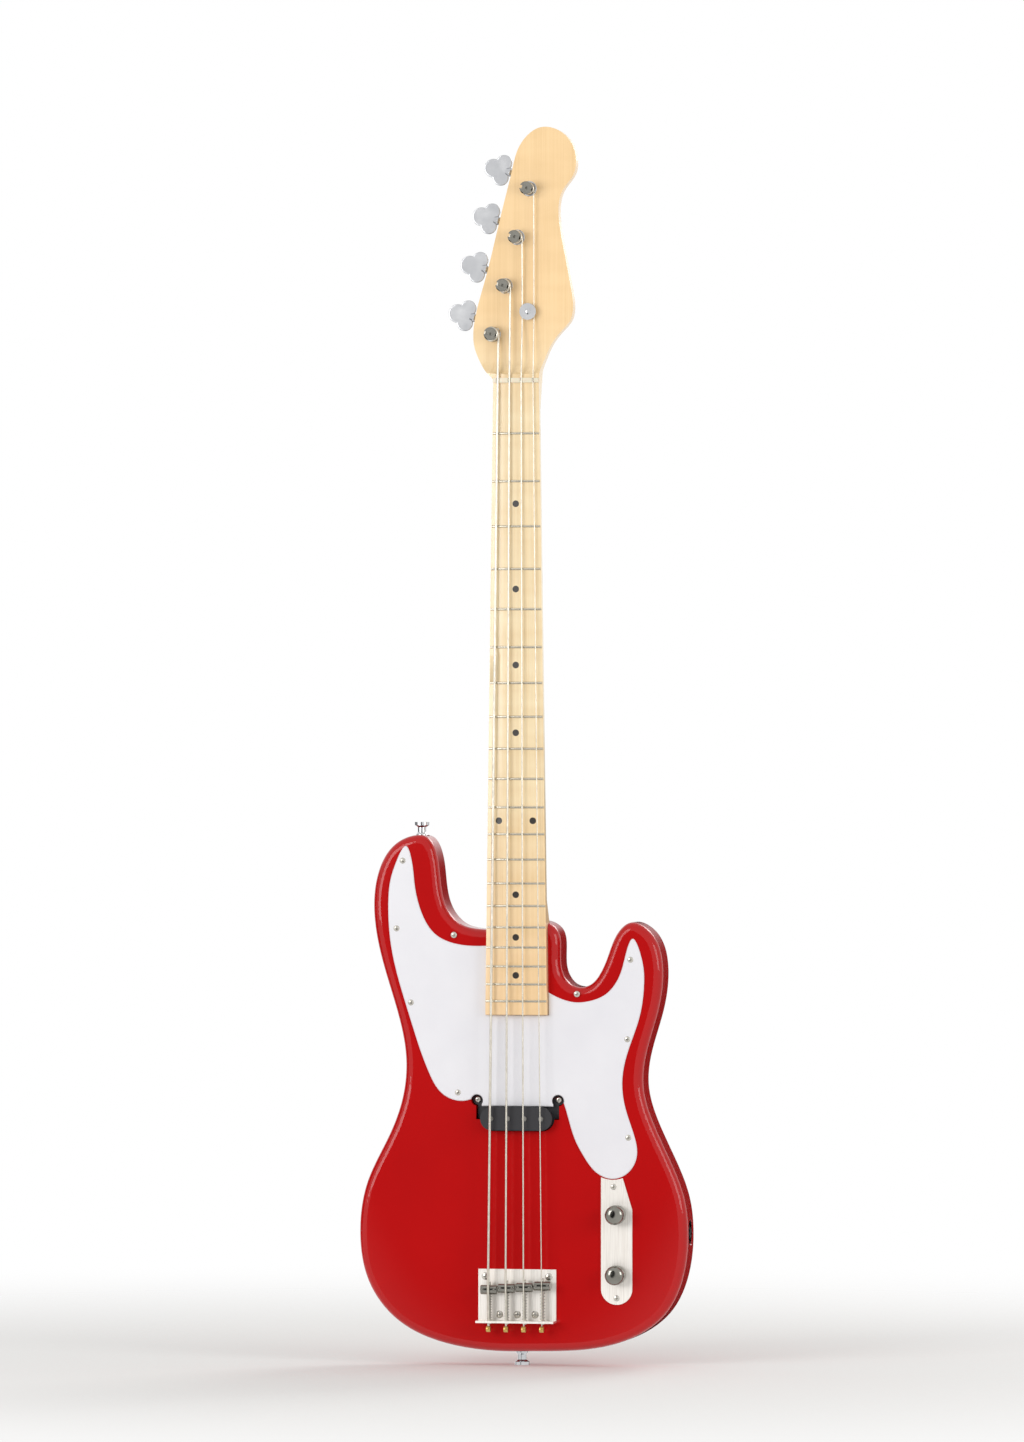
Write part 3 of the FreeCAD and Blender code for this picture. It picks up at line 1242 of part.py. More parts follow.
def neck_plate():
    half_x = NECK_PLATE_WIDTH / 2
    half_z = NECK_PLATE_LENGTH / 2
    plate = box(-half_x, half_x, BACK, BACK + NECK_PLATE_THICKNESS, PLATE_Z - half_z, PLATE_Z + half_z)
    corners = [edge for edge in plate.Edges if abs(edge.tangentAt(edge.FirstParameter).y) > 0.9]
    return plate.makeFillet(5.0, corners).cut(at_bolts(NECK_BOLT_HOLE))


BUTTON_SCREW = screw(BUTTON_SCREW_HEAD, BUTTON_SCREW_RADIUS, BUTTON_SCREW_LENGTH)
BUTTON_HOLE = screw_hole(BUTTON_SCREW_HEAD, BUTTON_SCREW_RADIUS, BUTTON_SCREW_LENGTH)
BUTTON_HEIGHT = BODY_END + BUTTON_RIM_HEIGHT / 2
END_SEAT = Vector(0, 0, BODY_END)
UPWARD = Vector(0, 0, 1)
HORN_SPOT = on_outline(Vector(HORN_BUTTON_X, 0, NECK_END + HEEL_LENGTH), UPWARD) - UPWARD * HORN_SINK
BUTTONS = [(END_SEAT, -UPWARD), (HORN_SPOT, UPWARD)]


def strap_button():
    rim = BUTTON_HEIGHT - BUTTON_RIM_HEIGHT
    profile = [(0, 0), (BUTTON_FOOT_RADIUS, 0), (BUTTON_FOOT_RADIUS, BUTTON_FOOT_HEIGHT),
               (BUTTON_WAIST_RADIUS, BUTTON_FOOT_HEIGHT + 2.2), (BUTTON_WAIST_RADIUS, rim - 2.0),
               (BUTTON_RIM_RADIUS, rim), (BUTTON_RIM_RADIUS, BUTTON_HEIGHT), (0, BUTTON_HEIGHT)]
    hole = placed(BUTTON_HOLE, Vector(0, 0, BUTTON_HEIGHT - 1.2), Vector(0, 0, 1))
    return turned(profile).cut(hole)


def at_buttons(shape, lift=0.0):
    return [placed(shape, seat + way * lift, way) for seat, way in BUTTONS]


# String retainer and nut

def string_tree():
    x = (string_x(2, NUT_PITCH) + string_x(3, NUT_PITCH)) / 2
    spot = Vector(x, HEAD_FACE, NUT_Z + TREE_RISE)
    low = TREE_HEIGHT
    top = low + TREE_THICKNESS
    profile = [(0, 0), (TREE_STEM_RADIUS, 0), (TREE_STEM_RADIUS, low), (TREE_RADIUS - 0.6, low),
               (TREE_RADIUS, low + 0.6), (TREE_RADIUS, top), (0, top)]
    hole = placed(SMALL_HOLE, Vector(0, 0, top), Vector(0, 0, 1))
    disc = placed(turned(profile).cut(hole), spot, TO_FRONT)
    return [disc, placed(SMALL_SCREW, spot + TO_FRONT * top, TO_FRONT)]


def tree_hole():
    x = (string_x(2, NUT_PITCH) + string_x(3, NUT_PITCH)) / 2
    spot = Vector(x, HEAD_FACE - TREE_HEIGHT - TREE_THICKNESS, NUT_Z + TREE_RISE)
    return placed(SMALL_HOLE, spot, TO_FRONT)


NUT_SEAT = 2.0
NUT_RISE = 3.0


def nut_block(half, high, clearance=0.0):
    z0 = NUT_Z - clearance
    z1 = NUT_Z + NUT_THICKNESS + clearance
    return box(-half, half, BOARD_Y - high, BOARD_Y + NUT_SEAT, z0, z1)


def nut():
    half = NUT_WIDTH / 2 - 0.3
    axis = Vector(0, BOARD_Y + CAMBER_RADIUS, NUT_Z - 5)
    crown = rod(axis, axis + Vector(0, 0, 20), CAMBER_RADIUS + NUT_RISE)
    block = nut_block(half, NUT_RISE + 2).common(crown)
    grooves = []
    for index in range(4):
        x = string_x(index, NUT_PITCH)
        y = string_y(x, ACTION_NUT, STRING_RADII[index])
        low = Vector(x, y, NUT_Z - 5)
        width = STRING_RADII[index] + CONTACT_GAP
        grooves.append(rod(low, low + Vector(0, 0, 20), width))
        grooves.append(box(x - width, x + width, y - 10, y, NUT_Z - 5, NUT_Z + 15))
    return block.cut(grooves)


# Whole pieces with their cuts

RUN_START = Vector(EAR_X, FRONT + WIRE_RUN_DEPTH, PICKUP_Z + 6)
RUN_END = Vector(CONTROL_X, FRONT + WIRE_RUN_DEPTH, CONTROL_CAVITY_HIGH + 5)


def body():
    block = rounded(slab([spline(points(BODY_OUTLINE, FRONT), True)], BODY_THICKNESS), EDGE_RADIUS)
    gap = POCKET_CLEARANCE
    low = NECK_END - gap
    high = HEEL_TOP + HEEL_LENGTH
    corners = [Vector(side * (board_half_width(z) + gap), FRONT + POCKET_DEPTH, z)
               for side, z in ((-1, low), (1, low), (1, high), (-1, high))]
    pocket = slab(polyline(corners + corners[:1]), -POCKET_DEPTH - 5)
    wire_run = rod(RUN_START, RUN_END, WIRE_RUN_RADIUS)
    cuts = [pocket, pickup_cavity(), control_cavity(), wire_run] + jack_hole()
    cuts += at_screws(SMALL_HOLE, GUARD_SCREWS, FRONT - GUARD_THICKNESS)
    cuts += at_screws(SMALL_HOLE, CONTROL_SCREWS, FRONT - CONTROL_THICKNESS)
    cuts += at_screws(BRIDGE_HOLE, BRIDGE_SCREWS, FRONT - BRIDGE_THICKNESS, TO_FRONT, BRIDGE_REAR)
    cuts += at_bolts(NECK_BOLT_HOLE)
    cuts += at_buttons(BUTTON_HOLE, BUTTON_HEIGHT - 1.2)
    cuts += [rod(seat, seat + way * 20, BUTTON_RIM_RADIUS + 2) for seat, way in BUTTONS]
    screw_end = PICKUP_BASE + PICKUP_SCREW_GRIP + 1
    cuts += [post(side, PICKUP_Z + EAR_RISE, SMALL_SHANK_RADIUS + SCREW_CLEARANCE, FRONT, screw_end)
             for side in (-EAR_X, EAR_X)]
    return block.cut(cuts)


def neck_group():
    blank = raw_neck()
    plugs = dot_plugs()
    rod_y = BOARD_Y + ROD_DEPTH
    reach = ROD_RADIUS + ROD_CLEARANCE
    dots = [plug.common(blank) for plug in plugs]
    strip = blank.common(rod_channel(rod_y + reach))
    holes = [cut for index in range(4) for cut in [on_tuner(tool, index) for tool in post_hole()]]
    holes += four_tuners([placed(SMALL_HOLE, Vector(u, v, PLATE_THICKNESS), Vector(0, 0, 1))
                          for u, v in TUNER_SCREWS])
    holes += [fret_slot(number) for number in range(1, FRET_COUNT + 1)]
    holes += at_bolts(NECK_BOLT_HOLE) + rod_bore() + [rod_channel(rod_y - reach), tree_hole()] + plugs
    holes.append(nut_block(NUT_WIDTH, 10, 0.02))
    return blank.cut(holes), strip, dots


def wires():
    # Pickup lead to the volume pot, link between the two pots, volume pot to the jack
    volume, tone = pot_places()
    lug = FRONT + LUG_BACK + 0.05
    deep = FRONT + WIRE_RUN_DEPTH
    run_x = volume.x - LUG_SPREAD
    run_z = RUN_START.z + (RUN_END.z - RUN_START.z) * (run_x - RUN_START.x) / (RUN_END.x - RUN_START.x)
    lug_z = volume.z - POT_RADIUS - 1.5
    tone_z = tone.z - POT_RADIUS - 1.5
    first_x = (pole_places()[2] + pole_places()[3]) / 2
    lead_z = PICKUP_Z + 4.0
    rear = JACK_SEAT - OUTWARD * (JACK_CUP_DEPTH + JACK_BODY_LENGTH + 0.05)
    out_x = volume.x + LUG_SPREAD
    routes = {
        "pickup lead": [Vector(first_x, PICKUP_BASE + 0.05, lead_z), Vector(first_x, deep, lead_z), RUN_START,
                        Vector(run_x, deep, run_z), Vector(run_x, deep, lug_z), Vector(run_x, lug, lug_z)],
        "pot link": [Vector(volume.x, lug, lug_z), Vector(volume.x, deep + 4, lug_z),
                     Vector(volume.x, deep + 4, tone_z), Vector(volume.x, lug, tone_z)],
        "jack lead": [Vector(out_x, lug, lug_z), Vector(out_x, rear.y, lug_z),
                      Vector(out_x + 14, rear.y, rear.z), rear],
    }
    leads = []
    for name, corners in routes.items():
        edges, start = bent(corners, WIRE_BEND)
        edges.append(Part.makeLine(start, corners[-1]))
        leads.append(tube(edges, WIRE_RADIUS, name))
    return leads


neck, strip, dots = neck_group()
bar, bar_nut = truss_rod()
PIECES = {
    "body": [body()],
    "neck": [neck],
    "rod_channel_strip": [strip],
    "truss_rod": [bar],
    "truss_rod_nut": [bar_nut],
    "frets": [fret(number) for number in range(1, FRET_COUNT + 1)],
    "position_dots": dots,
    "nut": [nut()],
    "neck_plate": [neck_plate()],
    "neck_bolts": at_bolts(NECK_BOLT),
    "pickguard": [pickguard()],
    "plate_screws": at_screws(SMALL_SCREW, GUARD_SCREWS, FRONT - GUARD_THICKNESS)
    + at_screws(SMALL_SCREW, CONTROL_SCREWS, FRONT - CONTROL_THICKNESS),
    "pickup_bobbin": pickup_bobbin(),
    "pickup_coil": [pickup_coil()],
    "pole_pieces": poles(),
    "pickup_screws": pickup_screws(),
    "control_plate": [control_plate()],
    "potentiometers": at_pots([potentiometer()]),
    "panel_nuts": at_pots(panel_nut(CONTROL_THICKNESS)) + jack_nut(),
    "tone_capacitor": [capacitor()],
    "wiring": wires(),
    "jack_cup": [jack_cup()],
    "jack_socket": [jack_socket()],
    "bridge_plate": [bridge_plate()],
    "bridge_screws": at_screws(BRIDGE_SCREW, BRIDGE_SCREWS, FRONT - BRIDGE_THICKNESS, TO_FRONT, BRIDGE_REAR),
    "saddles": [saddle(index) for index in range(4)],
    "saddle_height_screws": [bar for index in range(4) for bar in height_screws(index)],
    "intonation_screws": [intonation_screw(index) for index in range(4)],
    "intonation_springs": [intonation_spring(index) for index in range(4)],
    "string_tree": string_tree(),
    "tuner_plates": four_tuners([tuner_plate()]),
    "tuner_ferrules": four_tuners([ferrule()]),
    "tuner_screws": four_tuners(tuner_screws()),
    "strap_buttons": at_buttons(strap_button()),
    "strap_button_screws": at_buttons(BUTTON_SCREW, BUTTON_HEIGHT - 1.2),
}
for index, name in enumerate(STRING_NAMES):
    PIECES["string_" + name] = string_course(index)
    PIECES["tuner_post_" + name] = [on_tuner(tuner_post(), index)]
    PIECES["tuner_gear_" + name] = [on_tuner(shape, index) for shape in gear()]
    PIECES["tuner_worm_" + name] = [on_tuner(worm(), index)]
    PIECES["tuner_key_" + name] = [on_tuner(key(), index)]
for spot, name in zip(pot_places(), ("volume", "tone")):
    PIECES[name + "_shaft"] = [placed(pot_shaft(), spot, TO_FRONT)]
    PIECES[name + "_knob"] = [placed(shape, spot, TO_FRONT) for shape in knob()]

os.makedirs("parts", exist_ok=True)
for name, shapes in PIECES.items():
    solids = [solid for shape in shapes for solid in shape.Solids]
    whole = solids[0] if len(solids) == 1 else Part.makeCompound(solids)
    print(name, len(solids), "solids, valid", all(solid.isValid() for solid in solids))
    whole.exportStep("parts/" + name + ".step")
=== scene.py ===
import bpy
import math
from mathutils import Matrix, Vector


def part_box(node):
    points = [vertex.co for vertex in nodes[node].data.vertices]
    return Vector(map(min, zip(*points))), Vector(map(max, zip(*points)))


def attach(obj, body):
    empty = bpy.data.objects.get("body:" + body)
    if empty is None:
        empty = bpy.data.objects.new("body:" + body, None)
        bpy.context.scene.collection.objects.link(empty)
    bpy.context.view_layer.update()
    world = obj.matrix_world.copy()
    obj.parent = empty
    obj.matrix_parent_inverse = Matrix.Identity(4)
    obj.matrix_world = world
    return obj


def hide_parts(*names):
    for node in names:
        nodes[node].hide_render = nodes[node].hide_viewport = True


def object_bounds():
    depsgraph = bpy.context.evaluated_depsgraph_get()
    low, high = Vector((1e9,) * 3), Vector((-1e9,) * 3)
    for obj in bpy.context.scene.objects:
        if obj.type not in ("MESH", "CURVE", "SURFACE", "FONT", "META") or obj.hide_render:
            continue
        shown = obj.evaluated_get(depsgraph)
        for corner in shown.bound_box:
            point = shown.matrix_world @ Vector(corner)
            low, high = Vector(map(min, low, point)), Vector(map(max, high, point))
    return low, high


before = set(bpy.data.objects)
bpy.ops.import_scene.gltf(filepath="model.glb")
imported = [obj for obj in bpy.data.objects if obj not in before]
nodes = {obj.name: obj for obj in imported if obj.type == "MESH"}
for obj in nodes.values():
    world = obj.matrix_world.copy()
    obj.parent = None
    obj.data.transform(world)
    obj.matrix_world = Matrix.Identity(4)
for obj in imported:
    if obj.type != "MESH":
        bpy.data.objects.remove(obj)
cad_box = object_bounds()

# Body: one slab of alder sawn to its outline, rounded over at both faces,
# sprayed with solid red lacquer and clear coats, then buffed to a mirror.
LACQUER_RED = "#BE0B0C"
LACQUER_DEEP = "#AE080A"
LACQUER_CLOUD_MM = 90.0
ORANGE_PEEL_MM = 3.0
# Sockets of a Mix node that mixes colours: its share, its two colours and its result
SHARE = 0
FIRST = 6
SECOND = 7
MIXED = 2


def linear(colour):
    # An sRGB hex value as the linear colour that shaders take
    shares = [int(colour[at:at + 2], 16) / 255 for at in (1, 3, 5)]
    return [c / 12.92 if c <= 0.04045 else ((c + 0.055) / 1.055) ** 2.4 for c in shares] + [1.0]


def per_metre(size_mm):
    # Pattern scale for cells of this size
    return 1000.0 / size_mm


def add_node(tree, kind, settings, links=None):
    # One shader node: settings and links go by socket name or number, or by the node's own property
    node = tree.nodes.new("ShaderNode" + kind)
    for name, value in settings.items():
        if isinstance(name, int) or name in node.inputs:
            node.inputs[name].default_value = value
        else:
            setattr(node, name, value)
    for socket, source in (links or {}).items():
        tree.links.new(source, node.inputs[socket])
    return node


def new_finish(name, constants):
    # A material with these constant values on its shader, and the place that its patterns read
    material = bpy.data.materials.new(name)
    material.use_nodes = True
    tree = material.node_tree
    shader = tree.nodes["Principled BSDF"]
    for socket, value in constants.items():
        shader.inputs[socket].default_value = value
    place = add_node(tree, "TexCoord", {}).outputs["Object"]
    return material, tree, shader, place


def dress(material, *names):
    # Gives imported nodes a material
    for name in names:
        nodes[name].data.materials.clear()
        nodes[name].data.materials.append(material)


def red_lacquer():
    # Polished lacquer: an even deep red under a hard clear skin that mirrors the lamps,
    # with the faint ripple that spraying leaves.
    material, tree, shader, place = new_finish("red_lacquer", {
        "Roughness": 0.45, "Specular IOR Level": 0.05, "Coat Weight": 1.0, "Coat Roughness": 0.025,
        "Coat IOR": 1.36})
    cloud = add_node(tree, "TexNoise", {"Scale": per_metre(LACQUER_CLOUD_MM), "Detail": 3.0},
                     {"Vector": place})
    colour = add_node(tree, "Mix",
                      {"data_type": "RGBA", FIRST: linear(LACQUER_DEEP), SECOND: linear(LACQUER_RED)},
                      {SHARE: cloud.outputs["Fac"]})
    peel = add_node(tree, "TexNoise", {"Scale": per_metre(ORANGE_PEEL_MM), "Detail": 1.0},
                    {"Vector": place})
    ripple = add_node(tree, "Bump", {"Strength": 0.06, "Distance": 0.0001},
                      {"Height": peel.outputs["Fac"]})
    tree.links.new(colour.outputs[MIXED], shader.inputs["Base Color"])
    tree.links.new(ripple.outputs["Normal"], shader.inputs["Coat Normal"])
    return material


dress(red_lacquer(), "body")

# Neck: hard maple, one piece with its fingerboard and headstock, planed and sanded round,
# under amber-tinted clear lacquer; four bolts hold its heel in the body's pocket.
MAPLE_PALE = "#FAE6BC"
MAPLE_GRAIN = "#DFB87C"
MAPLE_HEEL = "#F9D5A4"
MAPLE_HEAD = "#F7D29A"
# Real fibres are finer than this; they are drawn as coarse as they need to show
MAPLE_FIBRE_MM = 0.9
MAPLE_FIBRE_RUN_MM = 110.0
MAPLE_RING_MM = 7.0
MAPLE_RING_RUN_MM = 440.0
MAPLE_FLAME_MM = 13.0
MAPLE_FLAME_RUN_MM = 52.0
MAPLE_FLAME_SHARE = 0.35
# Heights between which the tint at the heel fades out and the tint at the head comes in
HEEL_TINT = (0.34, 0.62)
HEAD_TINT = (0.90, 1.02)


def maple():
    # Lacquered maple: pale cream with fine straight fibres along the neck, broad soft growth
    # lines and a faint cross figure, warmer where the lacquer lies thicker at the two ends.
    material, tree, shader, place = new_finish("lacquered_maple", {
        "Roughness": 0.38, "IOR": 1.5, "Coat Weight": 0.7, "Coat Roughness": 0.08, "Coat IOR": 1.5})
    along = add_node(tree, "SeparateXYZ", {}, {"Vector": place}).outputs["Z"]
    heel = add_node(tree, "MapRange", {
        "From Min": HEEL_TINT[0], "From Max": HEEL_TINT[1], "To Min": 1.0, "To Max": 0.0,
        "interpolation_type": "SMOOTHSTEP"}, {"Value": along})
    head = add_node(tree, "MapRange", {
        "From Min": HEAD_TINT[0], "From Max": HEAD_TINT[1],
        "interpolation_type": "SMOOTHSTEP"}, {"Value": along})
    warm = add_node(tree, "Mix",
                    {"data_type": "RGBA", FIRST: linear(MAPLE_PALE), SECOND: linear(MAPLE_HEEL)},
                    {SHARE: heel.outputs["Result"]})
    tinted = add_node(tree, "Mix", {"data_type": "RGBA", SECOND: linear(MAPLE_HEAD)},
                      {SHARE: head.outputs["Result"], FIRST: warm.outputs[MIXED]})
    fibre_place = add_node(tree, "Mapping", {
        "Scale": (per_metre(MAPLE_FIBRE_MM), per_metre(MAPLE_FIBRE_MM), per_metre(MAPLE_FIBRE_RUN_MM))},
        {"Vector": place})
    fibres = add_node(tree, "TexNoise", {"Scale": 1.0, "Detail": 3.0, "Roughness": 0.6},
                      {"Vector": fibre_place.outputs["Vector"]})
    ring_place = add_node(tree, "Mapping", {
        "Scale": (per_metre(MAPLE_RING_MM), per_metre(MAPLE_RING_MM), per_metre(MAPLE_RING_RUN_MM))},
        {"Vector": place})
    rings = add_node(tree, "TexNoise", {"Scale": 1.0, "Detail": 2.0, "Distortion": 0.6},
                     {"Vector": ring_place.outputs["Vector"]})
    flame_place = add_node(tree, "Mapping", {
        "Scale": (per_metre(MAPLE_FLAME_RUN_MM), per_metre(MAPLE_FLAME_RUN_MM), per_metre(MAPLE_FLAME_MM))},
        {"Vector": place})
    flame = add_node(tree, "TexNoise", {"Scale": 1.0, "Detail": 1.0},
                     {"Vector": flame_place.outputs["Vector"]})
    lines = add_node(tree, "Math", {"operation": "MULTIPLY"},
                     {0: fibres.outputs["Fac"], 1: rings.outputs["Fac"]})
    figure = add_node(tree, "Math", {"operation": "MULTIPLY_ADD", 1: MAPLE_FLAME_SHARE},
                      {0: flame.outputs["Fac"], 2: lines.outputs["Value"]})
    grain = add_node(tree, "MapRange", {"From Min": 0.30, "From Max": 0.75, "To Max": 0.75},
                     {"Value": figure.outputs["Value"]})
    colour = add_node(tree, "Mix", {"data_type": "RGBA", SECOND: linear(MAPLE_GRAIN)},
                      {SHARE: grain.outputs["Result"], FIRST: tinted.outputs[MIXED]})
    pores = add_node(tree, "Bump", {"Strength": 0.12, "Distance": 0.0001},
                     {"Height": fibres.outputs["Fac"]})
    tree.links.new(colour.outputs[MIXED], shader.inputs["Base Color"])
    tree.links.new(pores.outputs["Normal"], shader.inputs["Normal"])
    return material


dress(maple(), "neck")

# Rod channel strip: a walnut fillet glued into the slot at the back of the neck after the
# truss rod goes in, then shaved flush and lacquered with the neck.
WALNUT_LIGHT = "#6B4327"
WALNUT_DARK = "#3A2214"
# Real pores are finer than this; they are drawn as coarse as they need to show
WALNUT_PORE_MM = 0.7
WALNUT_RUN_MM = 40.0


def walnut():
    # Lacquered walnut: brown with darker open pores drawn out along the strip.
    material, tree, shader, place = new_finish("lacquered_walnut", {
        "Roughness": 0.4, "IOR": 1.5, "Coat Weight": 0.6, "Coat Roughness": 0.1})
    pore_place = add_node(tree, "Mapping", {
        "Scale": (per_metre(WALNUT_PORE_MM), per_metre(WALNUT_PORE_MM), per_metre(WALNUT_RUN_MM))},
        {"Vector": place})
    pores = add_node(tree, "TexNoise", {"Scale": 1.0, "Detail": 4.0, "Roughness": 0.65},
                     {"Vector": pore_place.outputs["Vector"]})
    colour = add_node(tree, "Mix",
                      {"data_type": "RGBA", FIRST: linear(WALNUT_DARK), SECOND: linear(WALNUT_LIGHT)},
                      {SHARE: pores.outputs["Fac"]})
    tree.links.new(colour.outputs[MIXED], shader.inputs["Base Color"])
    return material


dress(walnut(), "rod_channel_strip")

# Truss rod and its nut: a mild steel bar threaded at the heel, with a slotted round nut
# that bears on the end grain of the neck.
STEEL_GREY = "#A9A8A6"
STEEL_DULL = "#86857F"
STEEL_STAIN_MM = 4.0


def two_tone(name, dark, light, size_mm, constants, rough, detail=4.0):
    # A finish that drifts between two tones and two degrees of gloss over cells of one size
    material, tree, shader, place = new_finish(name, constants)
    drift = add_node(tree, "TexNoise", {"Scale": per_metre(size_mm), "Detail": detail}, {"Vector": place})
    colour = add_node(tree, "Mix", {"data_type": "RGBA", FIRST: linear(dark), SECOND: linear(light)},
                      {SHARE: drift.outputs["Fac"]})
    gloss = add_node(tree, "MapRange", {"To Min": rough[0], "To Max": rough[1]},
                     {"Value": drift.outputs["Fac"]})
    tree.links.new(colour.outputs[MIXED], shader.inputs["Base Color"])
    tree.links.new(gloss.outputs["Result"], shader.inputs["Roughness"])
    return material


# Bare machined steel: grey, half dull, with soft darker stains of oil and handling
steel = two_tone("machined_steel", STEEL_DULL, STEEL_GREY, STEEL_STAIN_MM, {"Metallic": 1.0}, (0.42, 0.26))
dress(steel, "truss_rod", "truss_rod_nut")

# Frets: twenty lengths of nickel silver wire, pressed by their tangs into saw cuts across
# the board, then levelled, crowned and polished.
FRET_BRIGHT = "#D8D2C4"
FRET_WARM = "#BFB7A4"
# Real polishing lines are finer than this; they are drawn as coarse as they need to show
FRET_POLISH_MM = 0.8
FRET_POLISH_RUN_MM = 16.0


def nickel_silver():
    # Polished nickel silver: a warm pale grey mirror with fine polishing lines along the wire.
    material, tree, shader, place = new_finish("nickel_silver", {"Metallic": 1.0})
    line_place = add_node(tree, "Mapping", {
        "Scale": (per_metre(FRET_POLISH_RUN_MM), per_metre(FRET_POLISH_MM), per_metre(FRET_POLISH_MM))},
        {"Vector": place})
    lines = add_node(tree, "TexNoise", {"Scale": 1.0, "Detail": 2.0},
                     {"Vector": line_place.outputs["Vector"]})
    colour = add_node(tree, "Mix",
                      {"data_type": "RGBA", FIRST: linear(FRET_WARM), SECOND: linear(FRET_BRIGHT)},
                      {SHARE: lines.outputs["Fac"]})
    gloss = add_node(tree, "MapRange", {"To Min": 0.30, "To Max": 0.16}, {"Value": lines.outputs["Fac"]})
    tree.links.new(colour.outputs[MIXED], shader.inputs["Base Color"])
    tree.links.new(gloss.outputs["Result"], shader.inputs["Roughness"])
    return material


dress(nickel_silver(), "frets")

# Position dots: short rods of black phenolic plastic, glued into drilled holes in the face
# and the bass edge of the board and sanded flush before lacquering.
DOT_BLACK = "#1B1714"
DOT_BROWN = "#2D2620"
DOT_SPECK_MM = 0.5


def black_inlay():
    # Filled plastic under lacquer: nearly black, with a fine brown speckle of filler.
    material, tree, shader, place = new_finish("black_phenolic", {
        "Roughness": 0.35, "Coat Weight": 0.6, "Coat Roughness": 0.08})
    speck = add_node(tree, "TexNoise", {"Scale": per_metre(DOT_SPECK_MM), "Detail": 2.0},
                     {"Vector": place})
    colour = add_node(tree, "Mix",
                      {"data_type": "RGBA", FIRST: linear(DOT_BLACK), SECOND: linear(DOT_BROWN)},
                      {SHARE: speck.outputs["Fac"]})
    tree.links.new(colour.outputs[MIXED], shader.inputs["Base Color"])
    return material


dress(black_inlay(), "position_dots")

# Nut: a bar of bleached bone let into a slot at the end of the board, filed with a groove
# for each string and polished.
BONE_PALE = "#EFE7D2"
BONE_VEIN = "#DACDAE"
BONE_VEIN_MM = 1.6
BONE_VEIN_RUN_MM = 12.8


def bone():
    # Polished bone: ivory white with faint drawn-out veins and a soft waxy gloss.
    material, tree, shader, place = new_finish("polished_bone", {
        "Roughness": 0.32, "IOR": 1.54, "Subsurface Weight": 0.15, "Subsurface Scale": 0.001})
    vein_place = add_node(tree, "Mapping", {
        "Scale": (per_metre(BONE_VEIN_RUN_MM), per_metre(BONE_VEIN_MM), per_metre(BONE_VEIN_MM))},
        {"Vector": place})
    veins = add_node(tree, "TexNoise", {"Scale": 1.0, "Detail": 3.0},
                     {"Vector": vein_place.outputs["Vector"]})
    colour = add_node(tree, "Mix",
                      {"data_type": "RGBA", FIRST: linear(BONE_VEIN), SECOND: linear(BONE_PALE)},
                      {SHARE: veins.outputs["Fac"]})
    tree.links.new(colour.outputs[MIXED], shader.inputs["Base Color"])
    return material


dress(bone(), "nut")

# Neck plate and bolts: a stamped steel plate on the back that spreads the pull of four long
# wood screws; the plate is chromium plated and buffed, the screws are nickel plated.
SATIN_BRIGHT = "#FBF6EF"
SATIN_COOL = "#E2DBD3"
# Real buffing lines are finer than this; they are drawn as coarse as they need to show
SATIN_LINE_MM = 0.5
SATIN_RUN_MM = 30.0
NICKEL_BRIGHT = "#D6D2CA"
NICKEL_DULL = "#ABA69C"
NICKEL_GRIME_MM = 1.5


def satin_chrome():
    # Buffed chromium plate: almost white, its mirror blurred by fine lines along the plate.
    material, tree, shader, place = new_finish("satin_chromium", {"Metallic": 1.0})
    line_place = add_node(tree, "Mapping", {
        "Scale": (per_metre(SATIN_LINE_MM), per_metre(SATIN_LINE_MM), per_metre(SATIN_RUN_MM))},
        {"Vector": place})
    lines = add_node(tree, "TexNoise", {"Scale": 1.0, "Detail": 3.0, "Roughness": 0.65},
                     {"Vector": line_place.outputs["Vector"]})
    streaks = add_node(tree, "MapRange", {"From Min": 0.3, "From Max": 0.6}, {"Value": lines.outputs["Fac"]})
    colour = add_node(tree, "Mix",
                      {"data_type": "RGBA", FIRST: linear(SATIN_COOL), SECOND: linear(SATIN_BRIGHT)},
                      {SHARE: streaks.outputs["Result"]})
    gloss = add_node(tree, "MapRange", {"To Min": 0.50, "To Max": 0.34}, {"Value": lines.outputs["Fac"]})
    tree.links.new(colour.outputs[MIXED], shader.inputs["Base Color"])
    tree.links.new(gloss.outputs["Result"], shader.inputs["Roughness"])
    return material


satin = satin_chrome()
dress(satin, "neck_plate")
# Nickel plate: slightly yellow bright metal, duller in patches from the driver
screw_nickel = two_tone("nickel_plate", NICKEL_DULL, NICKEL_BRIGHT, NICKEL_GRIME_MM, {"Metallic": 1.0},
                        (0.36, 0.14), detail=3.0)
dress(screw_nickel, "neck_bolts")

# Pickguard: one sheet of white vinyl plastic, sawn to shape with a bevelled edge and held to
# the body by small oval-head screws.
GUARD_WHITE = "#EDECEF"
GUARD_SHADE = "#E2E1E6"
GUARD_CLOUD_MM = 45.0
# Real hair scratches are finer than this; they are drawn as coarse as they need to show
GUARD_SCRATCH_MM = 1.2
GUARD_SCRATCH_RUN_MM = 30.0
GUARD_SCRATCH_TURN = math.radians(35)


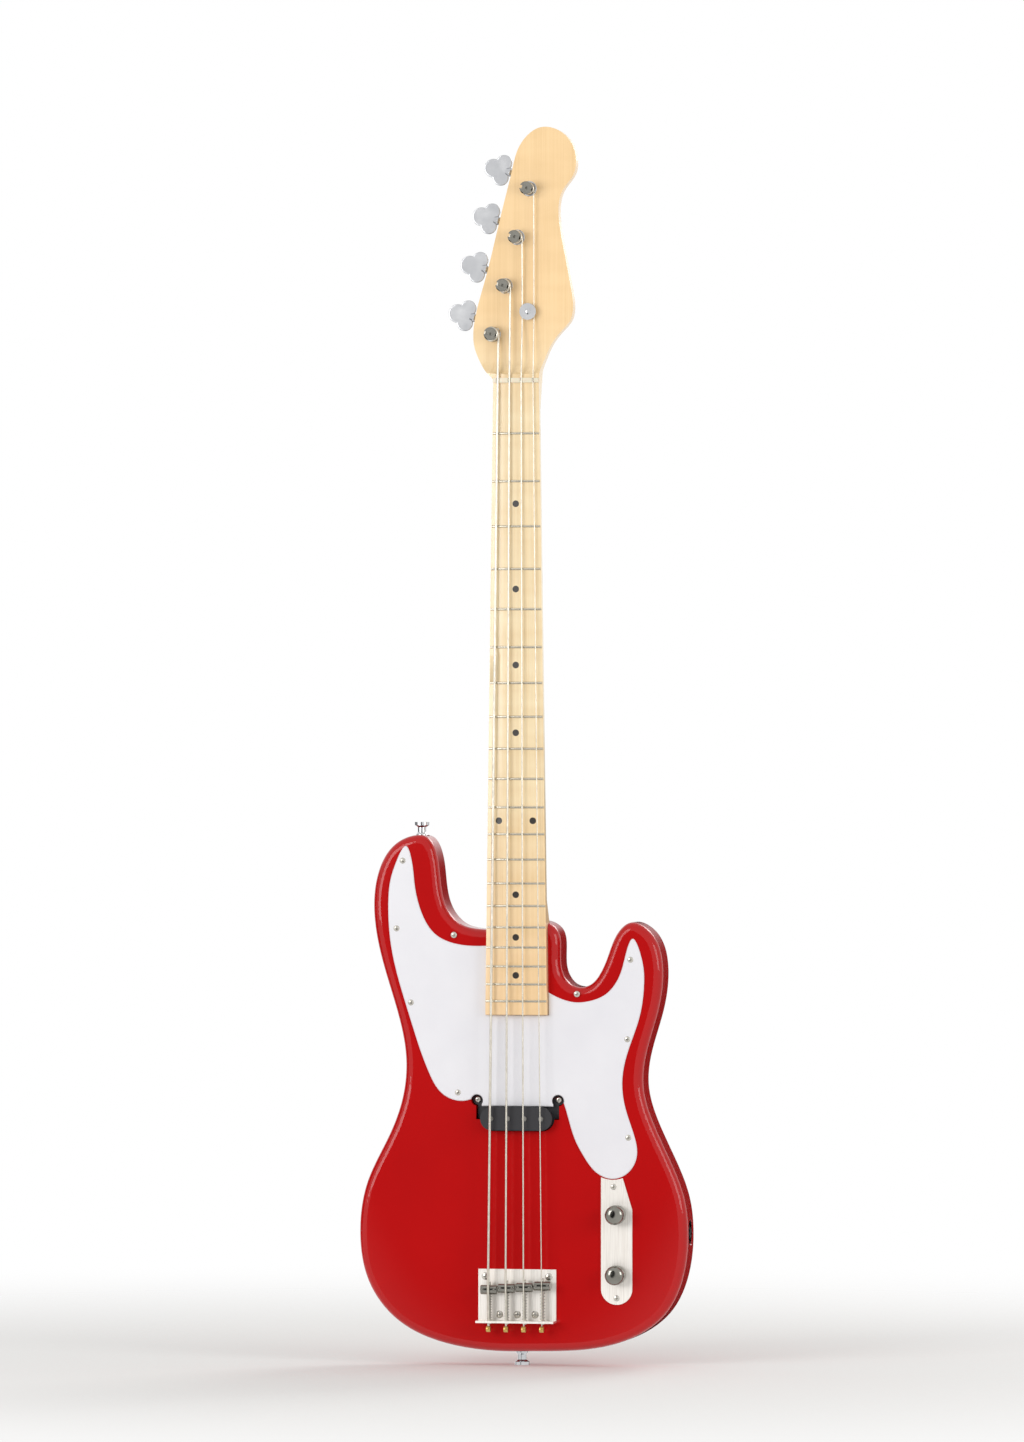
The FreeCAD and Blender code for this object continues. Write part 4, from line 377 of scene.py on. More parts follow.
def white_vinyl():
    # Calendered vinyl: cool white and glossy, with hair scratches from the pick that
    # only break up its reflections.
    material, tree, shader, place = new_finish("white_vinyl", {
        "IOR": 1.53, "Coat Weight": 0.25, "Coat Roughness": 0.06})
    cloud = add_node(tree, "TexNoise", {"Scale": per_metre(GUARD_CLOUD_MM), "Detail": 2.0},
                     {"Vector": place})
    colour = add_node(tree, "Mix",
                      {"data_type": "RGBA", FIRST: linear(GUARD_SHADE), SECOND: linear(GUARD_WHITE)},
                      {SHARE: cloud.outputs["Fac"]})
    scratch_place = add_node(tree, "Mapping", {
        "Rotation": (0.0, GUARD_SCRATCH_TURN, 0.0),
        "Scale": (per_metre(GUARD_SCRATCH_MM), per_metre(GUARD_SCRATCH_MM), per_metre(GUARD_SCRATCH_RUN_MM))},
        {"Vector": place})
    scratch = add_node(tree, "TexNoise", {"Scale": 1.0, "Detail": 2.0},
                       {"Vector": scratch_place.outputs["Vector"]})
    gloss = add_node(tree, "MapRange", {"To Min": 0.24, "To Max": 0.42}, {"Value": scratch.outputs["Fac"]})
    tree.links.new(colour.outputs[MIXED], shader.inputs["Base Color"])
    tree.links.new(gloss.outputs["Result"], shader.inputs["Roughness"])
    return material


dress(white_vinyl(), "pickguard")
dress(screw_nickel, "plate_screws")

# Pickup: two plates of black vulcanised fibre held apart by four magnet rods; fine wire is
# wound round the rods and bound with waxed black cord. Two screws hold it in its cavity.
FIBRE_BLACK = "#17161A"
FIBRE_GREY = "#2A292D"
FIBRE_FLECK_MM = 0.8
CORD_BLACK = "#141316"
CORD_EDGE = "#37343A"
CORD_STRAND_MM = 0.8
CORD_TURNS = 18
CORD_BULGE = 0.00022
COIL_ROUND = 48
MAGNET_GREY = "#A3A19C"
MAGNET_DARK = "#6E6C68"
# Real grinding marks are finer than this; they are drawn as coarse as they need to show
MAGNET_GRIND_MM = 0.5
MAGNET_GRIND_RUN_MM = 4.0
# Places nearer than this count as the same, and edges flatter than this are shaded smooth
HAIR = 0.00001
SMOOTH_ANGLE = math.radians(35)


def black_fibre():
    # Vulcanised fibre: a matt near-black sheet with pale flecks of pressed paper.
    material, tree, shader, place = new_finish("vulcanised_fibre", {"IOR": 1.5})
    fleck = add_node(tree, "TexNoise", {"Scale": per_metre(FIBRE_FLECK_MM), "Detail": 5.0, "Roughness": 0.7},
                     {"Vector": place})
    colour = add_node(tree, "Mix",
                      {"data_type": "RGBA", FIRST: linear(FIBRE_BLACK), SECOND: linear(FIBRE_GREY)},
                      {SHARE: fleck.outputs["Fac"]})
    gloss = add_node(tree, "MapRange", {"To Min": 0.42, "To Max": 0.62}, {"Value": fleck.outputs["Fac"]})
    nap = add_node(tree, "Bump", {"Strength": 0.15, "Distance": 0.0001}, {"Height": fleck.outputs["Fac"]})
    tree.links.new(colour.outputs[MIXED], shader.inputs["Base Color"])
    tree.links.new(gloss.outputs["Result"], shader.inputs["Roughness"])
    tree.links.new(nap.outputs["Normal"], shader.inputs["Normal"])
    return material


def waxed_cord():
    # Waxed cotton cord: black strands with a slight sheen where they are rubbed.
    material, tree, shader, place = new_finish("waxed_cord", {"Roughness": 0.55, "Sheen Weight": 0.2})
    strand = add_node(tree, "TexNoise", {"Scale": per_metre(CORD_STRAND_MM), "Detail": 4.0},
                      {"Vector": place})
    colour = add_node(tree, "Mix",
                      {"data_type": "RGBA", FIRST: linear(CORD_BLACK), SECOND: linear(CORD_EDGE)},
                      {SHARE: strand.outputs["Fac"]})
    tree.links.new(colour.outputs[MIXED], shader.inputs["Base Color"])
    return material


def magnet():
    # Cast magnet rod, ground at the end: grey metal with coarse grinding marks.
    material, tree, shader, place = new_finish("ground_magnet", {"Metallic": 1.0})
    mark_place = add_node(tree, "Mapping", {
        "Scale": (per_metre(MAGNET_GRIND_RUN_MM), per_metre(MAGNET_GRIND_MM), per_metre(MAGNET_GRIND_MM))},
        {"Vector": place})
    marks = add_node(tree, "TexNoise", {"Scale": 1.0, "Detail": 3.0},
                     {"Vector": mark_place.outputs["Vector"]})
    colour = add_node(tree, "Mix",
                      {"data_type": "RGBA", FIRST: linear(MAGNET_DARK), SECOND: linear(MAGNET_GREY)},
                      {SHARE: marks.outputs["Fac"]})
    gloss = add_node(tree, "MapRange", {"To Min": 0.5, "To Max": 0.28}, {"Value": marks.outputs["Fac"]})
    tree.links.new(colour.outputs[MIXED], shader.inputs["Base Color"])
    tree.links.new(gloss.outputs["Result"], shader.inputs["Roughness"])
    return material


def start_piece(name, material):
    # Names the primitive that was just added, puts its place into its mesh and gives it a material
    piece = bpy.context.object
    piece.name = name
    piece.data.name = name
    bpy.ops.object.transform_apply(location=True, rotation=True, scale=True)
    piece.data.materials.append(material)
    return piece


def pick(piece, kind, test):
    # Enters edit mode with only the vertices, edges or faces that pass the test selected
    bpy.ops.object.mode_set(mode="EDIT")
    bpy.ops.mesh.select_mode(type=kind)
    bpy.ops.mesh.select_all(action="DESELECT")
    bpy.ops.object.mode_set(mode="OBJECT")
    for part in {"VERT": piece.data.vertices, "EDGE": piece.data.edges, "FACE": piece.data.polygons}[kind]:
        part.select = test(part)
    bpy.ops.object.mode_set(mode="EDIT")


def edge_span(piece, edge, axis):
    # How far an edge reaches along the axis x, y or z
    ends = [getattr(piece.data.vertices[number].co, axis) for number in edge.vertices]
    return abs(ends[0] - ends[1])


def finish_piece(piece, body, slot, *replaced):
    # Smooth shading, then the piece rides on its body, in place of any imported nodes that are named
    bpy.ops.object.mode_set(mode="OBJECT")
    bpy.ops.object.shade_smooth_by_angle(angle=SMOOTH_ANGLE)
    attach(piece, body)
    if replaced:
        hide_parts(*replaced)


def coil_binding():
    # A long rounded drum with a bulge for each turn of cord
    low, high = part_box("pickup_coil")
    middle = (low + high) / 2
    radius = (high.z - low.z) / 2
    depth = high.y - low.y
    reach = (high.x - low.x) / 2 - radius
    bpy.ops.object.select_all(action="DESELECT")
    bpy.ops.mesh.primitive_cylinder_add(vertices=COIL_ROUND, radius=radius - CORD_BULGE, depth=depth,
                                        location=middle, rotation=(math.pi / 2, 0, 0))
    piece = start_piece("pickup_winding", waxed_cord())
    for side in (-1, 1):
        pick(piece, "VERT", lambda v: side * (v.co.x - middle.x) > HAIR)
        bpy.ops.transform.translate(value=(side * reach, 0, 0))
    pick(piece, "EDGE", lambda e: edge_span(piece, e, "y") > depth / 2)
    bpy.ops.mesh.subdivide(number_cuts=2 * CORD_TURNS - 1)
    step = depth / (2 * CORD_TURNS)
    pick(piece, "VERT", lambda v: round((v.co.y - low.y) / step) % 2 == 1)
    bpy.ops.transform.shrink_fatten(value=CORD_BULGE)
    finish_piece(piece, "instrument", "coil", "pickup_coil")


coil_binding()
dress(black_fibre(), "pickup_bobbin")
dress(magnet(), "pole_pieces")
dress(screw_nickel, "pickup_screws")

# Control plate: a stamped steel plate over the control cavity, chromium plated and buffed,
# that carries the two potentiometers on hexagon nuts and washers.
dress(satin, "control_plate")
dress(screw_nickel, "panel_nuts")

# Electrics under the plate: two tin-plated potentiometers with brass shafts, a paper
# capacitor dipped in wax, and cloth-covered leads soldered to their lugs.
TIN_PALE = "#B9B7B0"
TIN_DULL = "#8F8D86"
TIN_SPANGLE_MM = 3.0
WAX_CREAM = "#C9A86A"
WAX_BROWN = "#9C7A44"
WAX_CLOUD_MM = 3.0
CLOTH_YELLOW = "#CDB66C"
CLOTH_SHADE = "#8D7A41"
CLOTH_THREAD_MM = 0.4
BRASS_BRIGHT = "#D9B56A"
BRASS_DULL = "#A98A4C"
BRASS_STAIN_MM = 2.0

# Tin plate: pale soft grey metal with a faint spangle
tin = two_tone("tin_plate", TIN_DULL, TIN_PALE, TIN_SPANGLE_MM, {"Metallic": 1.0}, (0.5, 0.3))
dress(tin, "potentiometers")
# Dipped wax: amber to brown and half glossy, as it ran and set
wax = two_tone("dipped_wax", WAX_BROWN, WAX_CREAM, WAX_CLOUD_MM, {"IOR": 1.45}, (0.5, 0.35))
dress(wax, "tone_capacitor")
# Cotton braid: dull straw yellow threads with a faint sheen
cloth = two_tone("cloth_lead", CLOTH_SHADE, CLOTH_YELLOW, CLOTH_THREAD_MM, {"Sheen Weight": 0.3}, (0.9, 0.7))
dress(cloth, "wiring")
# Turned brass: bright yellow, browner and duller where it is stained
brass = two_tone("turned_brass", BRASS_DULL, BRASS_BRIGHT, BRASS_STAIN_MM, {"Metallic": 1.0}, (0.4, 0.2))
dress(brass, "volume_shaft", "tone_shaft")

# Knobs: barrels turned from steel bar, straight-knurled round the side, domed on top and
# chromium plated; a grub screw holds each one on its shaft.
# Darker grey tones for chromium: painted dark reflection, not real darkening of the plating
DARK_REFLECTION_LIGHT = "#9A9890"
DARK_REFLECTION_DARK = "#6D6B64"
DARK_REFLECTION_CLOUD_MM = 7.0
KNURLS = 44
KNURL_DEPTH = 0.00045
KNURL_LAND = 0.00012
# Steps of the domed top, from the rim inward: how far in and how far up each one goes
KNOB_CROWN = [(0.0007, 0.0012), (0.0008, 0.0008), (0.0014, 0.0008), (0.0020, 0.0006), (0.0020, 0.0003)]
KNOB_WALL = 0.0013
KNOB_RECESS = 0.006
# A face looks along an axis if its normal has at least this share of it
FACING = 0.9
GRUB_HEIGHT = 0.010
GRUB_RADIUS = 0.0015
GRUB_GAP = 0.0002
GRUB_HOLE = 0.0030
GRUB_SUNK = 0.0010
GRUB_SLOT = (0.0006, 0.0008)
GRUB_ROUND = 24

# Chromium painted a darker grey, a painted dark reflection as of a dark room mirrored in it: a grey mirror, a
# little cloudy
dark_reflection_chrome = two_tone("chromium_painted_dark_reflection", DARK_REFLECTION_DARK, DARK_REFLECTION_LIGHT, DARK_REFLECTION_CLOUD_MM, {"Metallic": 1.0}, (0.2, 0.07))


def cut_away(piece, cutter):
    # Cuts a piece by a second solid, which is then thrown away
    cut = piece.modifiers.new("cut", "BOOLEAN")
    cut.object = cutter
    bpy.ops.object.select_all(action="DESELECT")
    piece.select_set(True)
    bpy.context.view_layer.objects.active = piece
    bpy.ops.object.modifier_apply(modifier="cut")
    bpy.data.objects.remove(cutter)


def knurled_knob(name):
    # A ridged barrel with a domed top, hollow underneath, and a hole in its side for the grub screw
    low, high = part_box(name + "_knob")
    middle = (low + high) / 2
    radius = (high.z - low.z) / 2
    height = high.y - low.y
    band = height - sum(rise for inset, rise in KNOB_CROWN)
    front = high.y - band
    bpy.ops.object.select_all(action="DESELECT")
    bpy.ops.mesh.primitive_cylinder_add(vertices=2 * KNURLS, radius=radius - KNURL_DEPTH, depth=band,
                                        location=(middle.x, high.y - band / 2, middle.z),
                                        rotation=(math.pi / 2, 0, 0))
    # The knob takes the chromium painted darker grey: a painted dark reflection
    piece = start_piece(name + "_knob_knurled", dark_reflection_chrome)

    def on_ridge(face):
        angle = math.atan2(face.center.z - middle.z, face.center.x - middle.x)
        return abs(face.normal.y) < FACING and math.floor((angle + math.pi) * KNURLS / math.pi) % 2 == 0

    pick(piece, "FACE", on_ridge)
    bpy.ops.mesh.inset(thickness=KNURL_LAND, depth=KNURL_DEPTH, use_individual=True)
    pick(piece, "FACE", lambda f: f.normal.y < -FACING and f.center.y < front + HAIR)
    for inset, rise in KNOB_CROWN:
        bpy.ops.mesh.inset(thickness=inset, depth=rise)
    pick(piece, "FACE", lambda f: f.normal.y > FACING and f.center.y > high.y - HAIR)
    bpy.ops.mesh.inset(thickness=KNOB_WALL)
    bpy.ops.mesh.inset(thickness=0.0, depth=-KNOB_RECESS)
    bpy.ops.object.mode_set(mode="OBJECT")
    bpy.ops.mesh.primitive_cylinder_add(vertices=GRUB_ROUND, radius=GRUB_RADIUS + GRUB_GAP,
                                        depth=2 * GRUB_HOLE,
                                        location=(high.x, high.y - GRUB_HEIGHT, middle.z),
                                        rotation=(0, math.pi / 2, 0))
    cut_away(piece, bpy.context.object)
    finish_piece(piece, name, "chrome", name + "_knob")


def grub_screw(name):
    # A headless slotted screw, sunk a little below the knurling
    low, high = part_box(name + "_knob")
    end = Vector((high.x - GRUB_SUNK, high.y - GRUB_HEIGHT, (low.z + high.z) / 2))
    length = GRUB_HOLE - GRUB_SUNK
    width, depth = GRUB_SLOT
    bpy.ops.object.select_all(action="DESELECT")
    bpy.ops.mesh.primitive_cylinder_add(vertices=GRUB_ROUND, radius=GRUB_RADIUS, depth=length,
                                        location=end - Vector((length / 2, 0, 0)),
                                        rotation=(0, math.pi / 2, 0))
    piece = start_piece(name + "_grub_screw", steel)
    bpy.ops.mesh.primitive_cube_add(size=1, location=end, scale=(2 * depth, 4 * GRUB_RADIUS, width))
    cut_away(piece, bpy.context.object)
    finish_piece(piece, name, "screw_steel", name + "_knob")


for control in ("volume", "tone"):
    knurled_knob(control)
    grub_screw(control)

# Output jack: a plated cup pressed into the treble edge of the body, with the socket held
# through its floor by a hexagon nut.
CHROME_BRIGHT = "#D3D3D4"
CHROME_COOL = "#B3B5B9"
CHROME_SMEAR_MM = 14.0
# Real buffing lines are finer than this; they are drawn as coarse as they need to show
CHROME_BUFF_MM = 0.6
CHROME_BUFF_RUN_MM = 18.0


def chrome():
    # Chromium plate over buffed steel: a cool bright mirror, a little blurred by buffing lines
    # and by faint smears of handling.
    material, tree, shader, place = new_finish("chromium_plate", {"Metallic": 1.0})
    smear = add_node(tree, "TexNoise", {"Scale": per_metre(CHROME_SMEAR_MM), "Detail": 4.0},
                     {"Vector": place})
    colour = add_node(tree, "Mix",
                      {"data_type": "RGBA", FIRST: linear(CHROME_COOL), SECOND: linear(CHROME_BRIGHT)},
                      {SHARE: smear.outputs["Fac"]})
    gloss = add_node(tree, "MapRange", {"To Min": 0.05, "To Max": 0.17}, {"Value": smear.outputs["Fac"]})
    buff_place = add_node(tree, "Mapping", {
        "Scale": (per_metre(CHROME_BUFF_MM), per_metre(CHROME_BUFF_MM), per_metre(CHROME_BUFF_RUN_MM))},
        {"Vector": place})
    buff = add_node(tree, "TexNoise", {"Scale": 1.0, "Detail": 1.0},
                    {"Vector": buff_place.outputs["Vector"]})
    lines = add_node(tree, "Bump", {"Strength": 0.03, "Distance": 0.00005}, {"Height": buff.outputs["Fac"]})
    tree.links.new(colour.outputs[MIXED], shader.inputs["Base Color"])
    tree.links.new(gloss.outputs["Result"], shader.inputs["Roughness"])
    tree.links.new(lines.outputs["Normal"], shader.inputs["Normal"])
    return material


plated = chrome()
dress(plated, "jack_cup")
dress(screw_nickel, "jack_socket")

# Bridge: a bent steel plate with a turned-up lip, four steel barrels as saddles on height
# screws, and long screws that set each string's length; all are plated but the bare steel
# springs on the long screws.
BRIDGE_PITCH = 0.0173
STRING_NAMES = ("e", "a", "d", "g")
SPRING_TURNS = 10
SPRING_WIRE = 0.00035
SPRING_ROUND = 10
SPRING_STEPS = 20
SHANK_RADIUS = 0.0014
THREAD_RIDGE = 0.0002
THREAD_PITCH = 0.0008
THREAD_SIDES = 4


def box_near(node, x, reach):
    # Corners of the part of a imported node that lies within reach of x
    spots = [v.co for v in nodes[node].data.vertices if abs(v.co.x - x) < reach]
    low = Vector([min(axis) for axis in zip(*spots)])
    high = Vector([max(axis) for axis in zip(*spots)])
    return low, high


def string_x(index, pitch):
    # Where a string lies across the instrument, counted from the middle of the four
    return (index - (len(STRING_NAMES) - 1) / 2) * pitch


def wound(piece, pitch, turns, steps):
    # Carries a ring of wire round the Z axis and up it, and closes the ends of the coil
    screw = piece.modifiers.new("coil", "SCREW")
    screw.axis = "Z"
    screw.screw_offset = pitch
    screw.iterations = turns
    screw.steps = steps
    screw.render_steps = steps
    screw.use_merge_vertices = True
    bpy.ops.object.modifier_apply(modifier="coil")
    bpy.ops.object.mode_set(mode="EDIT")
    bpy.ops.mesh.select_mode(type="VERT")
    bpy.ops.mesh.select_all(action="SELECT")
    bpy.ops.mesh.remove_doubles(threshold=HAIR)
    bpy.ops.mesh.fill_holes(sides=0)
    bpy.ops.mesh.normals_make_consistent(inside=False)
    bpy.ops.object.mode_set(mode="OBJECT")


def set_down(piece, spot):
    # Moves a piece that was made about the origin to its place, in its mesh
    piece.location = spot
    bpy.ops.object.transform_apply(location=True, rotation=True, scale=True)


def bridge_spring(index):
    # A coil of round wire on the intonation screw, from the lip to the saddle
    low, high = box_near("intonation_springs", string_x(index, BRIDGE_PITCH), BRIDGE_PITCH / 2)
    middle = (low + high) / 2
    coil = (high.x - low.x) / 2 - SPRING_WIRE
    length = high.z - low.z - 2 * SPRING_WIRE
    bpy.ops.object.select_all(action="DESELECT")
    bpy.ops.mesh.primitive_circle_add(vertices=SPRING_ROUND, radius=SPRING_WIRE, location=(coil, 0, 0),
                                      rotation=(math.pi / 2, 0, 0))
    piece = start_piece("bridge_spring_" + STRING_NAMES[index], steel)
    wound(piece, length / SPRING_TURNS, SPRING_TURNS, SPRING_STEPS)
    set_down(piece, (middle.x, middle.y, low.z + SPRING_WIRE))
    finish_piece(piece, "instrument", "steel", "intonation_springs")


def screw_thread(index):
    # The ridge of the thread, wound on the plain shank from the lip to the saddle
    low, high = box_near("intonation_springs", string_x(index, BRIDGE_PITCH), BRIDGE_PITCH / 2)
    middle = (low + high) / 2
    bpy.ops.object.select_all(action="DESELECT")
    bpy.ops.mesh.primitive_circle_add(vertices=THREAD_SIDES, radius=THREAD_RIDGE,
                                      location=(SHANK_RADIUS, 0, 0), rotation=(math.pi / 2, 0, 0))
    piece = start_piece("intonation_thread_" + STRING_NAMES[index], screw_nickel)
    wound(piece, THREAD_PITCH, int((high.z - low.z) / THREAD_PITCH), SPRING_STEPS)
    set_down(piece, (middle.x, middle.y, low.z))
    finish_piece(piece, "instrument", "screw_steel")


dress(satin, "bridge_plate")
# The saddles take the chromium painted darker grey: a painted dark reflection
dress(dark_reflection_chrome, "saddles")
dress(screw_nickel, "bridge_screws", "saddle_height_screws", "intonation_screws")
for index in range(len(STRING_NAMES)):
    screw_thread(index)
    bridge_spring(index)

# Tuners: on each a stamped plate carries a brass gear on the string post and a steel worm
# on the key's shaft; plates, ferrules and cloverleaf keys are chromium plated, and so are the
# posts, whose plating is painted a darker grey as a painted dark reflection.
dress(plated, "tuner_plates", "tuner_ferrules")
dress(screw_nickel, "tuner_screws")
for name in STRING_NAMES:
    dress(dark_reflection_chrome, "tuner_post_" + name)
    dress(plated, "tuner_key_" + name)
    dress(brass, "tuner_gear_" + name)
    dress(steel, "tuner_worm_" + name)

# String retainer: a turned steel button screwed to the headstock, which holds the two
# treble strings down behind the nut.
dress(plated, "string_tree")

# Strap buttons: turned steel, chromium plated, one screwed to the end of the body and one
# to the tip of the bass horn.
dress(plated, "strap_buttons")
dress(screw_nickel, "strap_button_screws")

# Strings: a steel core wound with nickel-plated wire, from a ball end behind the bridge lip
# over saddle and nut to a few turns round the tuner post.
WIRE_BRIGHT = "#E2DDD2"
WIRE_DULL = "#B4AE9F"
WIRE_STAIN_MM = 6.0
STRING_RADII = (0.00133, 0.00108, 0.00083, 0.00058)
SADDLE_OFFSETS = (0.0040, 0.0025, 0.0015, 0.0)
FIRST_TREBLE = 2
NUT_PITCH = 0.0114
BOARD_Y = -0.03165
BOARD_CAMBER = 0.241
ACTION_SADDLE = 0.0054
ACTION_NUT = 0.0016
SADDLE_SETBACK = 0.0356
LIP_DROP = 0.0008
HEAD_FACE = -0.02465
RETAINER_SPOT = 0.068
RETAINER_HALF = 0.008
RETAINER_SEAT = 0.0043
WRAP_BASE = 0.0039
WRAP_REACH = 0.0048
WRAP_TURNS = 2.25
WRAP_STEPS = 24
WRAP_GAP = 0.0005
# A bend begins this far from its corner, or a third of the way along a shorter run
ROUTE_BEND = 0.006
BEND_SHARE = 3
# The real winding is about 0.45 mm from turn to turn; it is coarser here so that it shows
WINDING_PITCH = 0.0012
WINDING_ROUND = 12
WINDING_GROOVE = 0.86
WINDING_MERGE = WINDING_PITCH / 100
BALL_GAP = 0.003
BALL_RADIUS = 0.0029
BALL_LENGTH = 0.0042
BALL_EDGE = 0.0004
BALL_ROUND = 24

# Nickel-plated winding: pale warm metal, duller where fingers have stained it
string_wire = two_tone("nickel_winding", WIRE_DULL, WIRE_BRIGHT, WIRE_STAIN_MM, {"Metallic": 1.0},
                       (0.38, 0.24))


def above_board(x, action, radius):
    # Height of a string's centre line over the cambered board
    camber = BOARD_CAMBER - math.sqrt(BOARD_CAMBER ** 2 - x ** 2)
    return BOARD_Y + camber - action - radius


def string_start(index):
    # Points at the saddle, at the hole in the bridge lip and at the ball behind it
    radius = STRING_RADII[index]
    x = string_x(index, BRIDGE_PITCH)
    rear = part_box("bridge_plate")[0].z
    y = above_board(x, ACTION_SADDLE, radius)
    saddle = Vector((x, y, rear + SADDLE_SETBACK - SADDLE_OFFSETS[index]))
    lip = Vector((x, y + radius + LIP_DROP, rear))
    return saddle, lip, lip + (lip - saddle).normalized() * BALL_GAP


def string_route(index):
    # Ball, lip, saddle, nut, retainer for the two treble strings, then turns round the post
    radius = STRING_RADII[index]
    saddle, lip, start = string_start(index)
    x = string_x(index, NUT_PITCH)
    nut_low, nut_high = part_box("nut")
    corners = [start, lip, saddle]
    corners.append(Vector((x, above_board(x, ACTION_NUT, radius), (nut_low.z + nut_high.z) / 2)))
    if index >= FIRST_TREBLE:
        seat = HEAD_FACE - RETAINER_SEAT + radius
        for side in (-1, 1):
            corners.append(Vector((x, seat, nut_low.z + RETAINER_SPOT + side * RETAINER_HALF)))
    low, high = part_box("tuner_post_" + STRING_NAMES[index])
    post = (low + high) / 2
    base = HEAD_FACE - WRAP_BASE - radius
    corners.append(Vector((x, base, post.z)))
    spots = [start]
    for before, here, after in zip(corners, corners[1:], corners[2:]):
        bend = min(ROUTE_BEND, (here - before).length / BEND_SHARE, (after - here).length / BEND_SHARE)
        spots += [here + (before - here).normalized() * bend, here, here + (after - here).normalized() * bend]
    reach = WRAP_REACH + radius
    for step in range(int(WRAP_STEPS * WRAP_TURNS) + 1):
        angle = 2 * math.pi * step / WRAP_STEPS
        y = base - (2 * radius + WRAP_GAP) * step / WRAP_STEPS
        spots.append(Vector((post.x + reach * math.cos(angle), y, post.z + reach * math.sin(angle))))
    return spots


def route_curve(spots):
    # A smooth curve that the windings are laid along
    path = bpy.data.curves.new("string_path", "CURVE")
    path.dimensions = "3D"
    line = path.splines.new("NURBS")
    line.points.add(len(spots) - 1)
    for point, spot in zip(line.points, spots):
        point.co = (*spot, 1)
    line.order_u = 3
    line.use_endpoint_u = True
    guide = bpy.data.objects.new("string_path", path)
    bpy.context.scene.collection.objects.link(guide)
    return guide


def wound_string(index):
    # One turn of winding is a short barrel; it is repeated along Z and laid along the route
    radius = STRING_RADII[index]
    guide = route_curve(string_route(index))
    bpy.ops.object.select_all(action="DESELECT")
    bpy.ops.mesh.primitive_cylinder_add(vertices=WINDING_ROUND, radius=radius * WINDING_GROOVE,
                                        depth=WINDING_PITCH, end_fill_type="NOTHING",
                                        location=(0, 0, WINDING_PITCH / 2))
    piece = start_piece("string_%s_wound" % STRING_NAMES[index], string_wire)
    pick(piece, "EDGE", lambda e: edge_span(piece, e, "z") > WINDING_PITCH / 2)
    bpy.ops.mesh.subdivide(number_cuts=1)
    pick(piece, "VERT", lambda v: abs(v.co.z - WINDING_PITCH / 2) < HAIR)
    bpy.ops.transform.resize(value=(1 / WINDING_GROOVE, 1 / WINDING_GROOVE, 1))
    bpy.ops.object.mode_set(mode="OBJECT")
    array = piece.modifiers.new("turns", "ARRAY")
    array.fit_type = "FIT_CURVE"
    array.curve = guide
    array.use_relative_offset = False
    array.use_constant_offset = True
    array.constant_offset_displace = (0, 0, WINDING_PITCH)
    array.use_merge_vertices = True
    array.merge_threshold = WINDING_MERGE
    lay = piece.modifiers.new("lay", "CURVE")
    lay.object = guide
    lay.deform_axis = "POS_Z"
    bpy.ops.object.modifier_apply(modifier="turns")
    bpy.ops.object.modifier_apply(modifier="lay")
    bpy.data.objects.remove(guide)
    bpy.ops.object.mode_set(mode="EDIT")
    bpy.ops.mesh.select_all(action="SELECT")
    bpy.ops.mesh.fill_holes(sides=0)
    bpy.ops.mesh.normals_make_consistent(inside=False)
    finish_piece(piece, "instrument", "string_wire", "string_" + STRING_NAMES[index])


def ball_end(index):
    # A small brass barrel that the core wire is twisted round
    start = string_start(index)[-1]
    bpy.ops.object.select_all(action="DESELECT")
    bpy.ops.mesh.primitive_cylinder_add(vertices=BALL_ROUND, radius=BALL_RADIUS, depth=BALL_LENGTH,
                                        location=start - Vector((0, 0, BALL_RADIUS)),
                                        rotation=(0, math.pi / 2, 0))
    piece = start_piece("string_%s_ball" % STRING_NAMES[index], brass)
    pick(piece, "EDGE", lambda e: edge_span(piece, e, "x") < HAIR)
    bpy.ops.mesh.bevel(offset=BALL_EDGE, segments=2)
    finish_piece(piece, "instrument", "string_wire", "string_" + STRING_NAMES[index])


for index in range(len(STRING_NAMES)):
    wound_string(index)
    ball_end(index)

# Stage: a pale paper floor that fades into a white backdrop, and black ovals out of the
# camera's sight, which give the lacquer and the plating something dark to mirror.
FLOOR_PALE = "#F1F0EE"
FLOOR_RADIUS = 1.7
FLOOR_FADE = 0.25
FLOOR_ROUND = 96
FLAG_BLACK = "#040404"
FLAG_SOFT = 0.35
# Place, turn about Z in degrees, and width and height of each oval
FLAGS = {
    "front_flag": ((-0.14, -0.75, 0.26), 0, (0.52, 0.80)),
    "back_flag": ((0.12, 0.85, 0.14), 0, (0.95, 1.10)),
    "left_flag": ((-0.85, 0.15, 0.30), 90, (0.80, 0.90)),
}


def paper_floor():
    # Matt paper, pale and even, that turns clear towards its rim
    material, tree, shader, place = new_finish("floor_paper", {
        "Base Color": linear(FLOOR_PALE), "Roughness": 0.9, "Specular IOR Level": 0.0})
    reach = add_node(tree, "VectorMath", {"operation": "LENGTH"}, {0: place})
    fade = add_node(tree, "MapRange", {
        "From Min": FLOOR_FADE, "From Max": FLOOR_RADIUS,
        "interpolation_type": "SMOOTHSTEP"}, {"Value": reach.outputs["Value"]})
    clear = add_node(tree, "BsdfTransparent", {})
    mixed = add_node(tree, "MixShader", {}, {
        0: fade.outputs["Result"], 1: shader.outputs["BSDF"], 2: clear.outputs["BSDF"]})
    tree.links.new(mixed.outputs["Shader"], tree.nodes["Material Output"].inputs["Surface"])
    return material


